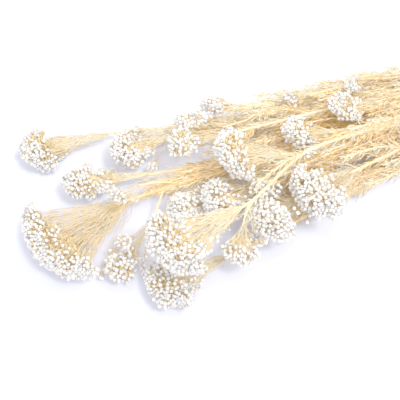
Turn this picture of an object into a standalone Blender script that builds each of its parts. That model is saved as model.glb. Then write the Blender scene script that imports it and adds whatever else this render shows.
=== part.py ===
"""A bound bunch of dried rice flower, lying on a table.

Fourteen cut stems are held by an elastic band near their cut ends and fan out from it. Each stem carries
needle leaves and ends in one or more flower heads: rays spread from a fork, like a broom, and carry a dome
of rounded buds. Places are measured from the foot of the band's middle: the heads point towards -X, the cut
ends towards +X, +Y is the back of the bunch and +Z is up from the table.
"""

import math
import random
from dataclasses import dataclass

import bmesh
import bpy
import numpy as np
from mathutils import Matrix, Vector
from mathutils.geometry import convex_hull_2d, delaunay_2d_cdt, interpolate_bezier

MM = 0.001
TOUCHING_GAP = 0.35 * MM
REPEAT_GAP = 0.6 * MM

STEM_RADIUS = 2.1 * MM
STEM_TIP_RADIUS = 1.3 * MM
STEM_SIDES = 5
STEM_STEP = 40 * MM
TWIG_RADIUS = 1.1 * MM
TWIG_TIP_RADIUS = 0.9 * MM
BUNDLE_ROWS = (4, 5, 4, 1)
BUNDLE_PITCH = 2 * STEM_RADIUS + 0.4 * MM
STRAIGHT_IN_BAND = 9 * MM
CUT_END_LENGTH = 52 * MM
CUT_END_SPREAD = 0.7
CUT_END_UNEVENNESS = 4 * MM

BAND_THICKNESS = 1.5 * MM
BAND_TURNS = 3
BAND_TURN_WIDTH = 2.6 * MM
BAND_GROOVE_WIDTH = 0.5 * MM
BAND_GROOVE_DEPTH = 0.5 * MM
BAND_CORNER_POINTS = 12

CORE_BALL_RADIUS = 1.3 * MM
CORE_BALL_SPACING = 2.4 * MM
DOME_EDGE = math.radians(78)
DOME_LAST = math.radians(86)
BUD_PITCH = 9.1 * MM
BUD_PITCH_SHARE = 0.45
BUD_HEIGHT_SHARE = 0.68
BUD_SHOULDER = 0.7
BUD_SHOULDER_HEIGHT = 0.68
BUD_HEIGHTS = (1, 0.7, 0.4, 0.15)
BUD_UNEVENNESS = 0.1
BUD_BALL_HEIGHTS = (0.2, 0.6)
SPIRAL_MARGIN = 1.9

RAY_RADIUS = 0.75 * MM
RAY_SIDES = 3
RAY_AREA = 180 * MM * MM
RAY_LEAST = 3
RAY_RIM = 1.5 * MM
RAY_BOW = 0.16
RAY_START_OUT = 0.6 * MM
RAY_BOW_PLACE = 0.5
RAY_END_BALLS = 2
FORK_LENGTH = 8 * MM

NEEDLE_LENGTH = 13 * MM
NEEDLE_RADIUS = 0.75 * MM
NEEDLE_SIDES = 3
NEEDLE_SWEEP = math.radians(36)
NEEDLE_SPACING = 20 * MM
NEEDLE_START = 45 * MM
NEEDLE_TRIES = 7
NEEDLE_BALL_SHARES = (0.3, 0.5, 0.7, 0.9)

GOLDEN_ANGLE = math.pi * (3 - math.sqrt(5))
TABLE_SIZE = 1200 * MM
TABLE_DEPTH = 60 * MM
SEED = 7

STRAW = (0.78, 0.58, 0.32)
BUD_WHITE = (0.93, 0.90, 0.82)
RUBBER = (0.70, 0.52, 0.32)


@dataclass(frozen=True)
class Head:
    """A flower head: the fork that its rays leave, the middle of its rim, and its half width, half height
    and depth with its buds, in millimetres. A side head also has the points of its twig, from the stem
    outwards."""

    fork: tuple
    rim: tuple
    size: tuple
    twig: tuple = ()


@dataclass(frozen=True)
class Stem:
    """A stem: its row in the bundle, counted from the table, its place in that row, counted from the back,
    and the points that it passes after the band, in millimetres. It ends at the fork of its first head."""

    row: int
    place: int
    way: tuple
    heads: tuple


STEMS = (
    Stem(0, 0, ((-130, 24, 7), (-270, 65, 10)), (Head((-386, 100, 13), (-430, 101, 19), (27, 24, 33)),)),
    Stem(0, 1, ((-130, 13, 14), (-262, 50, 16)), (Head((-333, 70, 17), (-366, 67, 22), (24, 20, 30)),)),
    Stem(
        0,
        2,
        ((-130, -2, 7), (-250, 9, 10), (-307, 15, 19), (-345, 17, 20)),
        (
            Head((-404, 19, 20), (-450, 4, 26), (52, 29, 34)),
            Head((-390, -12, 12), (-416, -31, 14), (18, 16, 24), ((-362, 17, 20), (-378, 0, 16))),
            Head((-385, 13, 43), (-402, 7, 49), (11, 9, 13), ((-350, 17, 20), (-368, 15, 35))),
        ),
    ),
    Stem(
        0,
        3,
        ((-130, -26, 6), (-250, -47, 7), (-313, -54, 7)),
        (Head((-348, -57, 8), (-384, -63, 15), (29, 20, 33)),),
    ),
    Stem(
        1,
        0,
        ((-130, 44, 17), (-216, 58, 22), (-250, 58, 30)),
        (
            Head((-268, 60, 35), (-290, 66, 40), (13, 11, 19)),
            Head((-292, 51, 27), (-316, 61, 35), (13, 10, 20), ((-236, 58, 27), (-266, 51, 26))),
        ),
    ),
    Stem(1, 1, ((-130, 20, 27), (-200, 26, 33)), (Head((-303, 33, 41), (-331, 36, 44), (19, 15, 22)),)),
    Stem(
        1,
        2,
        ((-130, -7, 15), (-230, 8, 17), (-307, 24, 17)),
        (Head((-370, 38, 18), (-409, 47, 22), (22, 18, 36)),),
    ),
    Stem(
        1,
        3,
        ((-130, -14, 29), (-240, -18, 32)),
        (
            Head((-288, -19, 31), (-320, -21, 33), (25, 15, 30)),
            Head((-320, -14, 13), (-346, -9, 20), (18, 13, 28), ((-252, -18, 32), (-286, -16, 16))),
        ),
    ),
    Stem(1, 4, ((-130, -36, 14), (-230, -38, 12)), (Head((-272, -42, 17), (-298, -53, 32), (26, 20, 26)),)),
    Stem(
        2,
        0,
        ((-130, 38, 27), (-180, 44, 33)),
        (
            Head((-211, 45, 36), (-228, 48, 40), (9, 8, 11)),
            Head((-160, 38, 39), (-176, 33, 44), (9, 7, 10), ((-142, 39, 29), (-151, 40, 35))),
        ),
    ),
    Stem(
        2,
        1,
        ((-130, 4, 38),),
        (
            Head((-158, 1, 44), (-187, 6, 51), (19, 14, 34)),
            Head(
                (-214, -6, 45),
                (-240, 0, 51),
                (19, 17, 26),
                ((-142, 3, 41), (-180, -10, 41), (-200, -10, 42)),
            ),
        ),
    ),
    Stem(
        2,
        2,
        ((-130, -4, 31), (-200, -7, 32), (-240, -8, 31)),
        (Head((-268, -7, 43), (-298, -3, 57), (30, 21, 30)),),
    ),
    Stem(2, 3, ((-130, -29, 25),), (Head((-222, -41, 32), (-256, -51, 42), (33, 24, 28)),)),
    Stem(
        3,
        0,
        ((-130, -17, 42), (-236, -18, 52), (-262, -22, 53), (-311, -42, 51)),
        (
            Head((-334, -47, 51), (-373, -55, 58), (38, 22, 37)),
            Head((-326, -54, 46), (-334, -66, 34), (20, 14, 20), ((-312, -42, 51), (-321, -49, 49))),
        ),
    ),
)


class Room:
    """The room that the nodes take up, as balls, so that what is added to one node is clear of the rest."""

    def __init__(self):
        self.balls = np.empty((0, 4))
        self.owners = np.empty(0, dtype=object)

    def take(self, owner, balls):
        self.balls = np.vstack((self.balls, balls))
        self.owners = np.append(self.owners, [owner] * len(balls))

    def gap(self, owner, balls):
        """The narrowest gap between some balls of a node and those of every other node."""
        others = self.balls[self.owners != owner]
        near = np.linalg.norm(others[:, None, :3] - balls[None, :, :3], axis=2)
        return (near - others[:, None, 3] - balls[None, :, 3]).min(initial=np.inf)


def place(point):
    """A place given in millimetres, as a vector in metres."""
    return Vector(point) * MM


def bundle_slot(row, number):
    """The middle of a stem under the band, where the stems lie in rows, each in the hollows of the last."""
    across = ((BUNDLE_ROWS[row] - 1) / 2 - number) * BUNDLE_PITCH
    lowest = BAND_THICKNESS + TOUCHING_GAP + STEM_RADIUS
    return Vector((0, across, lowest + row * BUNDLE_PITCH * math.sin(math.pi / 3)))


def smooth_path(points, step, lead=None):
    """Points about a step apart on a smooth curve through some points, which may leave the first one along
    a given direction."""
    path = [points[0].copy()]
    for i in range(len(points) - 1):
        start, end = points[i], points[i + 1]
        before = points[max(i - 1, 0)]
        after = points[min(i + 2, len(points) - 1)]
        handle = (end - start).length / 3
        leaving = lead if i == 0 and lead else (end - before).normalized()
        arriving = (after - start).normalized()
        count = max(1, round((end - start).length / step))
        curve = interpolate_bezier(start, start + leaving * handle, end - arriving * handle, end, count + 1)
        path += curve[1:]
    return path


def stem_path(stem, draw):
    """The middle line of a stem, from its cut end through the band to its first fork."""
    slot = bundle_slot(stem.row, stem.place)
    middle = (bundle_slot(0, 0) + bundle_slot(len(BUNDLE_ROWS) - 1, 0)) / 2
    middle.y = 0
    along = Vector((1, 0, 0))
    end = slot + (slot - middle) * CUT_END_SPREAD
    end += along * (CUT_END_LENGTH + draw.uniform(-1, 1) * CUT_END_UNEVENNESS)
    end.z = max(end.z, STEM_RADIUS)
    tail = smooth_path([slot + along * STRAIGHT_IN_BAND, end], STEM_STEP, along)
    points = [slot - along * STRAIGHT_IN_BAND, *map(place, stem.way), place(stem.heads[0].fork)]
    return tail[::-1] + smooth_path(points, STEM_STEP, -along)


def twig_path(head, carrier):
    """The middle line of a twig, from the nearest place on its stem to its own fork."""
    first = place(head.twig[0])
    root = min(densely(carrier), key=lambda point: (point - first).length)
    return smooth_path([root, *map(place, head.twig[1:]), place(head.fork)], STEM_STEP / 2)


def densely(path, step=1.2 * MM):
    """Points at most a step apart along the straight runs of a path."""
    dense = [path[0]]
    for start, end in zip(path, path[1:]):
        count = math.ceil((end - start).length / step)
        dense += [start.lerp(end, i / count) for i in range(1, count + 1)]
    return dense


def stem_radii(path):
    """A stem keeps its full radius to the band and then narrows evenly to its fork."""
    reach = path[-1].x
    return [STEM_RADIUS + (STEM_TIP_RADIUS - STEM_RADIUS) * max(0, point.x / reach) for point in path]


def twig_radii(path):
    return np.linspace(TWIG_RADIUS, TWIG_TIP_RADIUS, len(path)).tolist()


def balls_along(path, radii):
    """Balls that fill a tube along a path."""
    balls = []
    for start, end, first, last in zip(path, path[1:], radii, radii[1:]):
        for point in densely([start, end]):
            balls.append((*point, max(first, last)))
    return np.array(balls)


def head_frame(head):
    """A frame with its origin in the middle of a head's rim, X across it, Y up it and Z out of its dome."""
    rim = place(head.rim)
    out = (rim - place(head.fork)).normalized()
    across = Vector((0, 0, 1)).cross(out).normalized()
    frame = Matrix((across, out.cross(across), out)).transposed().to_4x4()
    frame.translation = rim
    return frame


def bud_pitch(head):
    """Buds are larger than life, to cover the dome with few of them, and smaller on a small head."""
    return min(BUD_PITCH, BUD_PITCH_SHARE * (head.size[0] + head.size[1]) / 2 * MM)


def core_size(head):
    """The half width, half height and depth of the core that the buds stand out of."""
    proud = bud_pitch(head) * BUD_HEIGHT_SHARE
    return [half * MM - proud for half in head.size]


def on_dome(size, spot):
    """A point on a head's core and the direction that it faces, in the head's own frame, for a spot in a
    disc: equal areas of the disc are equal areas of the dome, and the last buds are at its rim."""
    wide, high, deep = size
    out_angle = min(DOME_LAST, math.acos(1 - (1 - math.cos(DOME_EDGE)) * spot.length_squared))
    across = spot.normalized() * math.sin(out_angle)
    point = Vector((wide * across.x, high * across.y, deep * math.cos(out_angle)))
    normal = Vector((across.x / wide, across.y / high, math.cos(out_angle) / deep)).normalized()
    return point, normal


def dome_area(size):
    """The area of half an ellipsoid, by Thomsen's formula."""
    a, b, c = size
    power = 1.6075
    mean = ((a * b) ** power + (a * c) ** power + (b * c) ** power) / 3
    return 2 * math.pi * mean ** (1 / power)


def core_balls(head):
    """Balls that fill a head's core."""
    wide, high, deep = core_size(head)
    spacing = CORE_BALL_SPACING
    axes = [np.arange(-half, half + spacing, spacing) for half in (wide, high)]
    axes.append(np.arange(CORE_BALL_RADIUS, deep + spacing, spacing))
    grid = np.stack(np.meshgrid(*axes), axis=-1).reshape(-1, 3)
    inside = ((grid / (wide, high, deep)) ** 2).sum(axis=1) < 1
    frame = head_frame(head)
    return np.array([(*(frame @ Vector(point)), CORE_BALL_RADIUS) for point in grid[inside]])


def bud_height(head, spot, name, room, draw):
    """How far a bud stands out of the core: less where another node is in the way."""
    pitch = bud_pitch(head)
    full = pitch * BUD_HEIGHT_SHARE * (1 - draw.random() * BUD_UNEVENNESS)
    for share in BUD_HEIGHTS:
        height = full * share
        middles = [spot @ Vector((0, 0, height * up)) for up in BUD_BALL_HEIGHTS]
        balls = np.array([(*middle, pitch * BUD_SHOULDER / 2) for middle in middles])
        if room.gap(name, balls) > REPEAT_GAP:
            break
    room.take(name, balls)
    return height


def spiral_points(count):
    """A sunflower's spiral of points in a disc of radius 1, and on past it."""
    spiral = []
    while not spiral or spiral[-1].length_squared < SPIRAL_MARGIN:
        share = math.sqrt((len(spiral) + 0.5) / count)
        turn = len(spiral) * GOLDEN_ANGLE
        spiral.append(Vector((share * math.cos(turn), share * math.sin(turn))))
    return spiral


def raise_bud(bm, foot, point, normal, height):
    """A rounded bud over its foot, a loop of vertices in the valleys round it."""
    lift = normal * height * BUD_SHOULDER_HEIGHT
    shoulder = [bm.verts.new(point.lerp(vert.co, BUD_SHOULDER) + lift) for vert in foot]
    tip = bm.verts.new(point + normal * height)
    for k in range(len(foot)):
        after = (k + 1) % len(foot)
        bm.faces.new((foot[k], foot[after], shoulder[after]))
        bm.faces.new((foot[k], shoulder[after], shoulder[k]))
        bm.faces.new((shoulder[k], shoulder[after], tip))


def head_mesh(head, name, room, draw):
    """A head in one closed skin: a dome that rises into a rounded bud round each point of a sunflower's
    spiral, down to the valleys between it and its neighbours, over a flat underside."""
    size = core_size(head)
    count = round(dome_area(size) * (1 - math.cos(DOME_EDGE)) / bud_pitch(head) ** 2)
    spiral = spiral_points(count)
    cells = [cell for cell in delaunay_2d_cdt(spiral, [], [], 0, 0)[2] if min(cell) < count]
    middles = [sum((spiral[i] for i in cell), Vector((0, 0))) / 3 for cell in cells]
    bm = bmesh.new()
    valleys = [bm.verts.new(on_dome(size, middle)[0]) for middle in middles]
    frame = head_frame(head)
    for i in range(count):
        point, normal = on_dome(size, spiral[i])
        spot = frame @ Matrix.Translation(point) @ normal.to_track_quat("Z", "X").to_matrix().to_4x4()
        height = bud_height(head, spot, name, room, draw)
        round_it = [k for k, cell in enumerate(cells) if i in cell]
        round_it.sort(key=lambda k: math.atan2(*(middles[k] - spiral[i]).yx))
        raise_bud(bm, [valleys[k] for k in round_it], point, normal, height)
    border = [edge for edge in bm.edges if edge.is_boundary]
    rim = dict.fromkeys(vert for edge in border for vert in edge.verts)
    under = {vert: bm.verts.new((vert.co.x, vert.co.y, 0)) for vert in rim}
    for edge in border:
        start, end = edge.verts
        bm.faces.new((start, end, under[end], under[start]))
    bmesh.ops.contextual_create(bm, geom=[edge for edge in bm.edges if edge.is_boundary])
    bmesh.ops.recalc_face_normals(bm, faces=bm.faces)
    bmesh.ops.triangulate(bm, faces=bm.faces)
    mesh = bpy.data.meshes.new(name)
    bm.to_mesh(mesh)
    bm.free()
    return mesh


def ray_paths(head, carrier, name, room):
    """The rays of a head, in its own frame: bowed lines that leave the last stretch of the stem or twig and
    end just under the core, inside its rim of buds."""
    wide, high, _ = core_size(head)
    rim = RAY_RADIUS + RAY_RIM
    frame = head_frame(head)
    inverse = frame.inverted()
    stretch = [point for point in densely(carrier) if (point - carrier[-1]).length < FORK_LENGTH][:-1]
    count = max(RAY_LEAST, round(math.pi * (wide - rim) * (high - rim) / RAY_AREA))
    paths = []
    for i in range(count):
        share = math.sqrt((i + 0.5) / count)
        turn = i * GOLDEN_ANGLE
        spread = Vector(((wide - rim) * share * math.cos(turn), (high - rim) * share * math.sin(turn), 0))
        end = spread - Vector((0, 0, TOUCHING_GAP))
        root = stretch[(count - 1 - i) * len(stretch) // count]
        start = inverse @ root + spread.normalized() * RAY_START_OUT
        path = [start, start.lerp(end, RAY_BOW_PLACE) + spread * RAY_BOW, end]
        balls = balls_along([frame @ point for point in path], [RAY_RADIUS] * len(path))
        if room.gap(name, balls[:-RAY_END_BALLS]) > 0:
            paths.append(path)
    return paths


def needle_places(path, radii, name, room):
    """Where the needles leave a stem: in a spiral, swept towards the heads. One that would come near
    another node is turned on round the stem, or left out."""
    along_needle = [(share * NEEDLE_LENGTH, (1 - share) * NEEDLE_RADIUS) for share in NEEDLE_BALL_SHARES]
    places = []
    travelled = 0
    dense = densely(path)
    for i in range(1, len(dense) - 1):
        travelled += (dense[i] - dense[i - 1]).length
        near_fork = (dense[i] - dense[-1]).length < FORK_LENGTH
        if dense[i].x > -NEEDLE_START or near_fork or travelled < NEEDLE_SPACING:
            continue
        travelled = 0
        along = (dense[i + 1] - dense[i - 1]).normalized()
        side = along.orthogonal().normalized()
        for attempt in range(NEEDLE_TRIES):
            turn = (len(places) + attempt) * GOLDEN_ANGLE
            out = math.cos(turn) * side + math.sin(turn) * along.cross(side)
            way = math.cos(NEEDLE_SWEEP) * along + math.sin(NEEDLE_SWEEP) * out
            spot = Matrix.Translation(dense[i]) @ way.to_track_quat("Z", "X").to_matrix().to_4x4()
            balls = np.array([(*(spot @ Vector((0, 0, up))), radius) for up, radius in along_needle])
            if room.gap(name, balls) > REPEAT_GAP and balls[:, 2].min() > NEEDLE_RADIUS:
                room.take(name, balls)
                places.append(spot)
                break
    return places


def closed_mesh(name, rings, tip=None):
    """A closed mesh of triangles over rings of points that follow each other, each turning left as seen
    from the last one. It starts flat, and ends in a point, where one is given, or flat."""
    bm = bmesh.new()
    loops = [[bm.verts.new(point) for point in ring] for ring in rings]
    for low, high in zip(loops, loops[1:]):
        for k in range(len(low)):
            after = (k + 1) % len(low)
            bm.faces.new((low[k], low[after], high[after], high[k]))
    bm.faces.new(loops[0][::-1])
    if tip is None:
        bm.faces.new(loops[-1])
    else:
        end = bm.verts.new(tip)
        for k in range(len(loops[-1])):
            bm.faces.new((loops[-1][k], loops[-1][(k + 1) % len(loops[-1])], end))
    bmesh.ops.triangulate(bm, faces=bm.faces)
    mesh = bpy.data.meshes.new(name)
    bm.to_mesh(mesh)
    bm.free()
    return mesh


def ring(middle, across, up, sides):
    """Points round a middle, turning from the across direction to the up direction."""
    turns = [math.tau * k / sides for k in range(sides)]
    return [middle + math.cos(turn) * across + math.sin(turn) * up for turn in turns]


def tube_mesh(name, path, radii, sides):
    rings = []
    side = (path[1] - path[0]).orthogonal().normalized()
    for i, (point, radius) in enumerate(zip(path, radii)):
        along = (path[min(i + 1, len(path) - 1)] - path[max(i - 1, 0)]).normalized()
        side = (side - along * side.dot(along)).normalized()
        rings.append(ring(point, side * radius, along.cross(side) * radius, sides))
    return closed_mesh(name, rings)


def ray_mesh(path):
    """A ray whose end lies flat under the core."""
    across, up = Vector((RAY_RADIUS, 0, 0)), Vector((0, RAY_RADIUS, 0))
    return closed_mesh("ray", [ring(point, across, up, RAY_SIDES) for point in path])


def needle_mesh():
    across, up = Vector((NEEDLE_RADIUS, 0, 0)), Vector((0, NEEDLE_RADIUS, 0))
    return closed_mesh("needle", [ring(Vector(), across, up, NEEDLE_SIDES)], tip=(0, 0, NEEDLE_LENGTH))


def band_mesh():
    """An elastic band round the bundle: its outline follows the outer stems, and it lies in turns side by
    side, with a groove between each two."""
    middles = [bundle_slot(row, number) for row, count in enumerate(BUNDLE_ROWS) for number in range(count)]
    turns = [math.tau * k / BAND_CORNER_POINTS for k in range(BAND_CORNER_POINTS)]
    facings = [Vector((0, math.cos(turn), math.sin(turn))) for turn in turns]
    corners = [(middle, facing) for middle in middles for facing in facings]
    reach = STEM_RADIUS + TOUCHING_GAP
    inner = [middle + facing * reach for middle, facing in corners]
    outline = [corners[i] for i in convex_hull_2d([(point.y, point.z) for point in inner])]
    half = BAND_TURNS * BAND_TURN_WIDTH / 2
    profile = [(-half, 0)]
    for i in range(BAND_TURNS):
        start = -half + i * BAND_TURN_WIDTH
        lead_in = BAND_GROOVE_WIDTH / 2 if i else 0
        lead_out = BAND_GROOVE_WIDTH / 2 if i < BAND_TURNS - 1 else 0
        profile += [(start + lead_in, BAND_THICKNESS), (start + BAND_TURN_WIDTH - lead_out, BAND_THICKNESS)]
        if lead_out:
            profile.append((start + BAND_TURN_WIDTH, BAND_THICKNESS - BAND_GROOVE_DEPTH))
    profile.append((half, 0))
    bm = bmesh.new()
    loops = []
    for middle, facing in outline:
        points = [middle + facing * (reach + out) + Vector((x, 0, 0)) for x, out in profile]
        loops.append([bm.verts.new(point) for point in points])
    for loop, after in zip(loops, loops[1:] + loops[:1]):
        for k in range(len(profile)):
            following = (k + 1) % len(profile)
            bm.faces.new((loop[k], after[k], after[following], loop[following]))
    bmesh.ops.recalc_face_normals(bm, faces=bm.faces)
    mesh = bpy.data.meshes.new("tie_band")
    bm.to_mesh(mesh)
    bm.free()
    return mesh


def finish(name, colour, roughness):
    """A plain material of one colour."""
    material = bpy.data.materials.new(name)
    material.use_nodes = True
    shader = material.node_tree.nodes["Principled BSDF"]
    shader.inputs["Base Color"].default_value = (*colour, 1)
    shader.inputs["Roughness"].default_value = roughness
    material.diffuse_color = (*colour, 1)
    return material


def add_object(name, mesh, spot=None, collection=None):
    thing = bpy.data.objects.new(name, mesh)
    thing.matrix_world = spot or Matrix()
    (collection or bpy.context.scene.collection).objects.link(thing)
    return thing


def apply_boolean(thing, operation, solid=None, group=None):
    boolean = thing.modifiers.new(operation, "BOOLEAN")
    boolean.operation = operation
    boolean.solver = "MANIFOLD"
    if group:
        boolean.operand_type = "COLLECTION"
        boolean.collection = group
    else:
        boolean.object = solid
    bpy.context.view_layer.update()
    evaluated = thing.evaluated_get(bpy.context.evaluated_depsgraph_get())
    mesh = bpy.data.meshes.new_from_object(evaluated)
    thing.modifiers.clear()
    thing.data = mesh


def keep_outer_skin(mesh):
    """Fills a hollow that the joining sealed, and drops a loose scrap, by keeping the largest skin."""
    bm = bmesh.new()
    bm.from_mesh(mesh)
    unseen = set(bm.verts)
    skins = []
    while unseen:
        front = [unseen.pop()]
        skin = set(front)
        while front:
            around = {edge.other_vert(vert) for vert in front for edge in vert.link_edges}
            front = list(around & unseen)
            unseen -= around
            skin |= set(front)
        skins.append(skin)
    largest = max(skins, key=len)
    bmesh.ops.delete(bm, geom=[vert for vert in bm.verts if vert not in largest], context="VERTS")
    bm.to_mesh(mesh)
    bm.free()


def fuse(thing, repeats):
    """Joins a node's repeats to it, each a mesh and its place."""
    group = bpy.data.collections.new("repeats")
    bpy.context.scene.collection.children.link(group)
    for mesh, spot in repeats:
        add_object("repeat", mesh, spot, group)
    apply_boolean(thing, "UNION", group=group)
    keep_outer_skin(thing.data)
    for repeat in list(group.objects):
        bpy.data.objects.remove(repeat)
    bpy.data.collections.remove(group)


def rest_on_table(thing, table):
    """Cuts off what would reach into the table, and so gives the node its flat spots."""
    if min((thing.matrix_world @ vert.co).z for vert in thing.data.vertices) < 0:
        apply_boolean(thing, "DIFFERENCE", solid=table)


def table_cutter():
    """A block whose top is the surface that the bunch lies on."""
    bm = bmesh.new()
    bmesh.ops.create_cube(bm, size=1)
    bmesh.ops.scale(bm, vec=(TABLE_SIZE, TABLE_SIZE, TABLE_DEPTH), verts=bm.verts)
    bmesh.ops.translate(bm, vec=(0, 0, -TABLE_DEPTH / 2), verts=bm.verts)
    mesh = bpy.data.meshes.new("table")
    bm.to_mesh(mesh)
    bm.free()
    table = add_object("table", mesh)
    table.hide_render = True
    table.display_type = "WIRE"
    return table


def centre_over_origin(things):
    """Hangs the nodes on an empty that brings the middle of their box over the origin."""
    bpy.context.view_layer.update()
    corners = np.array([thing.matrix_world @ vert.co for thing in things for vert in thing.data.vertices])
    bunch = bpy.data.objects.new("bunch", None)
    bpy.context.scene.collection.objects.link(bunch)
    for thing in things:
        thing.parent = bunch
    middle = (corners.min(axis=0) + corners.max(axis=0)) / 2
    bunch.location = (-middle[0], -middle[1], -corners[:, 2].min())


def head_name(stem_index, head_index):
    return f"head_{stem_index + 1:02d}{'abc'[head_index]}"


def main():
    for thing in list(bpy.data.objects):
        bpy.data.objects.remove(thing)
    draw = random.Random(SEED)
    straw = finish("straw", STRAW, 0.7)
    bud_white = finish("bud_white", BUD_WHITE, 0.8)
    rubber = finish("rubber", RUBBER, 0.6)
    room = Room()
    carriers = {}
    for i, stem in enumerate(STEMS):
        path = stem_path(stem, draw)
        carriers[i] = [(path, stem_radii(path))]
        for head in stem.heads[1:]:
            twig = twig_path(head, path)
            carriers[i].append((twig, twig_radii(twig)))
        for carrier in carriers[i]:
            room.take(f"stem_{i + 1:02d}", balls_along(*carrier))
        for k, head in enumerate(stem.heads):
            room.take(head_name(i, k), core_balls(head))

    table = table_cutter()
    things = []
    for i, stem in enumerate(STEMS):
        for k, head in enumerate(stem.heads):
            name = head_name(i, k)
            thing = add_object(name, head_mesh(head, name, room, draw), head_frame(head))
            rest_on_table(thing, table)
            thing.data.materials.append(bud_white)
            things.append(thing)
    rays = {}
    for i, stem in enumerate(STEMS):
        name = f"stem_{i + 1:02d}"
        rays[name] = []
        for head, (path, _) in zip(stem.heads, carriers[i]):
            for ray in ray_paths(head, path, name, room):
                frame = head_frame(head)
                room.take(name, balls_along([frame @ point for point in ray], [RAY_RADIUS] * len(ray)))
                rays[name].append((ray_mesh(ray), frame))
    needle = needle_mesh()
    for i in range(len(STEMS)):
        name = f"stem_{i + 1:02d}"
        path, radii = carriers[i][0]
        repeats = rays[name] + [(needle, spot) for spot in needle_places(path, radii, name, room)]
        for twig, widths in carriers[i][1:]:
            repeats.append((tube_mesh("twig", twig, widths, STEM_SIDES), Matrix()))
        thing = add_object(name, tube_mesh(name, path, radii, STEM_SIDES))
        fuse(thing, repeats)
        rest_on_table(thing, table)
        thing.data.materials.append(straw)
        things.append(thing)
    bpy.data.objects.remove(table)
    band = add_object("tie_band", band_mesh())
    band.data.materials.append(rubber)
    things.append(band)
    centre_over_origin(things)


if __name__ == "__main__":
    main()
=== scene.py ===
"""A bound bunch of dried rice flower with its real finish: small papery buds on wavy stalks, needle leaves,
fibrous stems and an elastic band, on a pale stage.

Lengths are in metres. The stems and heads are laid out in millimetres from the foot of the band's middle: the
heads point towards -X, the cut ends towards +X, +Y is the back of the bunch and +Z is up from the table.
"""

import math
from dataclasses import dataclass
from functools import cache

import bpy
import numpy as np
from bpy.props import FloatProperty, FloatVectorProperty, IntProperty, PointerProperty
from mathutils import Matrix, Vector
from mathutils.geometry import convex_hull_2d, interpolate_bezier


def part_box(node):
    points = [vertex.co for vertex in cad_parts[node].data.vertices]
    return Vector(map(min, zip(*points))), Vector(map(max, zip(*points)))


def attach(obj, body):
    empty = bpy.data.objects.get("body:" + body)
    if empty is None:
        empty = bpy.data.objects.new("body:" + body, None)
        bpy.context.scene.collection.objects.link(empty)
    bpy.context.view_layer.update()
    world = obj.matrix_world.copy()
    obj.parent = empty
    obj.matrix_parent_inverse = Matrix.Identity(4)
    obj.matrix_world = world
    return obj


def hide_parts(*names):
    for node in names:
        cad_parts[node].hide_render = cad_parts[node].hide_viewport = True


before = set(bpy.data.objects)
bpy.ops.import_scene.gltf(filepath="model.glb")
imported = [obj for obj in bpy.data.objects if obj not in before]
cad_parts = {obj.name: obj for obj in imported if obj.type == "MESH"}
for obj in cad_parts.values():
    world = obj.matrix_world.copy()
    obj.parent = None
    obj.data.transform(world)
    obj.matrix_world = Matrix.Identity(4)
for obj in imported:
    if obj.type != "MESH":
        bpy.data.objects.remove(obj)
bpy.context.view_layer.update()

bl_info = {
    "name": "Dried Rice Flower Bunch",
    "version": (1, 0, 0),
    "blender": (4, 5, 0),
    "location": "View3D > Sidebar > Rice Flower",
    "description": "Makes a bunch of dried rice flower: buds, stalks, needle leaves, stems and band",
    "category": "Add Mesh",
}

MM = 0.001
GOLDEN_ANGLE = math.pi * (3 - math.sqrt(5))
UP = np.array((0.0, 0.0, 1.0))

# Stems, twigs and the bundle that the band holds
STEM_RADIUS = 2.1 * MM
STEM_TIP_RADIUS = 1.3 * MM
TWIG_RADIUS = 1.1 * MM
TWIG_TIP_RADIUS = 0.9 * MM
BUNDLE_ROWS = (4, 5, 4, 1)
BUNDLE_PITCH = 2 * STEM_RADIUS + 0.4 * MM
STRAIGHT_IN_BAND = 9 * MM
CUT_END_SPREAD = 0.7
TOUCHING_GAP = 0.35 * MM
TABLE_GAP = 0.05 * MM

# The band: its turns, and how finely its loop and its section are divided
BAND_THICKNESS = 1.5 * MM
BAND_TURNS = 3
BAND_TURN_WIDTH = 2.6 * MM
BAND_TURN_FILL = 0.96
BAND_ROUNDNESS = 0.5
BAND_LOOP_POINTS = 24
BAND_SECTION_POINTS = 16


@dataclass(frozen=True)
class Head:
    """A flower head: the fork that its rays leave, the middle of its rim, and its half width, half height
    and depth with its buds, in millimetres. A side head also has the points of its twig, from the stem
    outwards. Top is the share of its half height that its upper side reaches: where it is low, the fan of
    its rays shows behind the buds. Golden makes its rays more golden than most, or paler below 0."""

    fork: tuple
    rim: tuple
    size: tuple
    twig: tuple = ()
    top: float = 1.0
    golden: float = 0.0


@dataclass(frozen=True)
class Stem:
    """A stem: its row in the bundle, counted from the table, its place in that row, counted from the back,
    and the points that it passes after the band, in millimetres. It ends at the fork of its first head."""

    row: int
    place: int
    way: tuple
    heads: tuple


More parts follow.
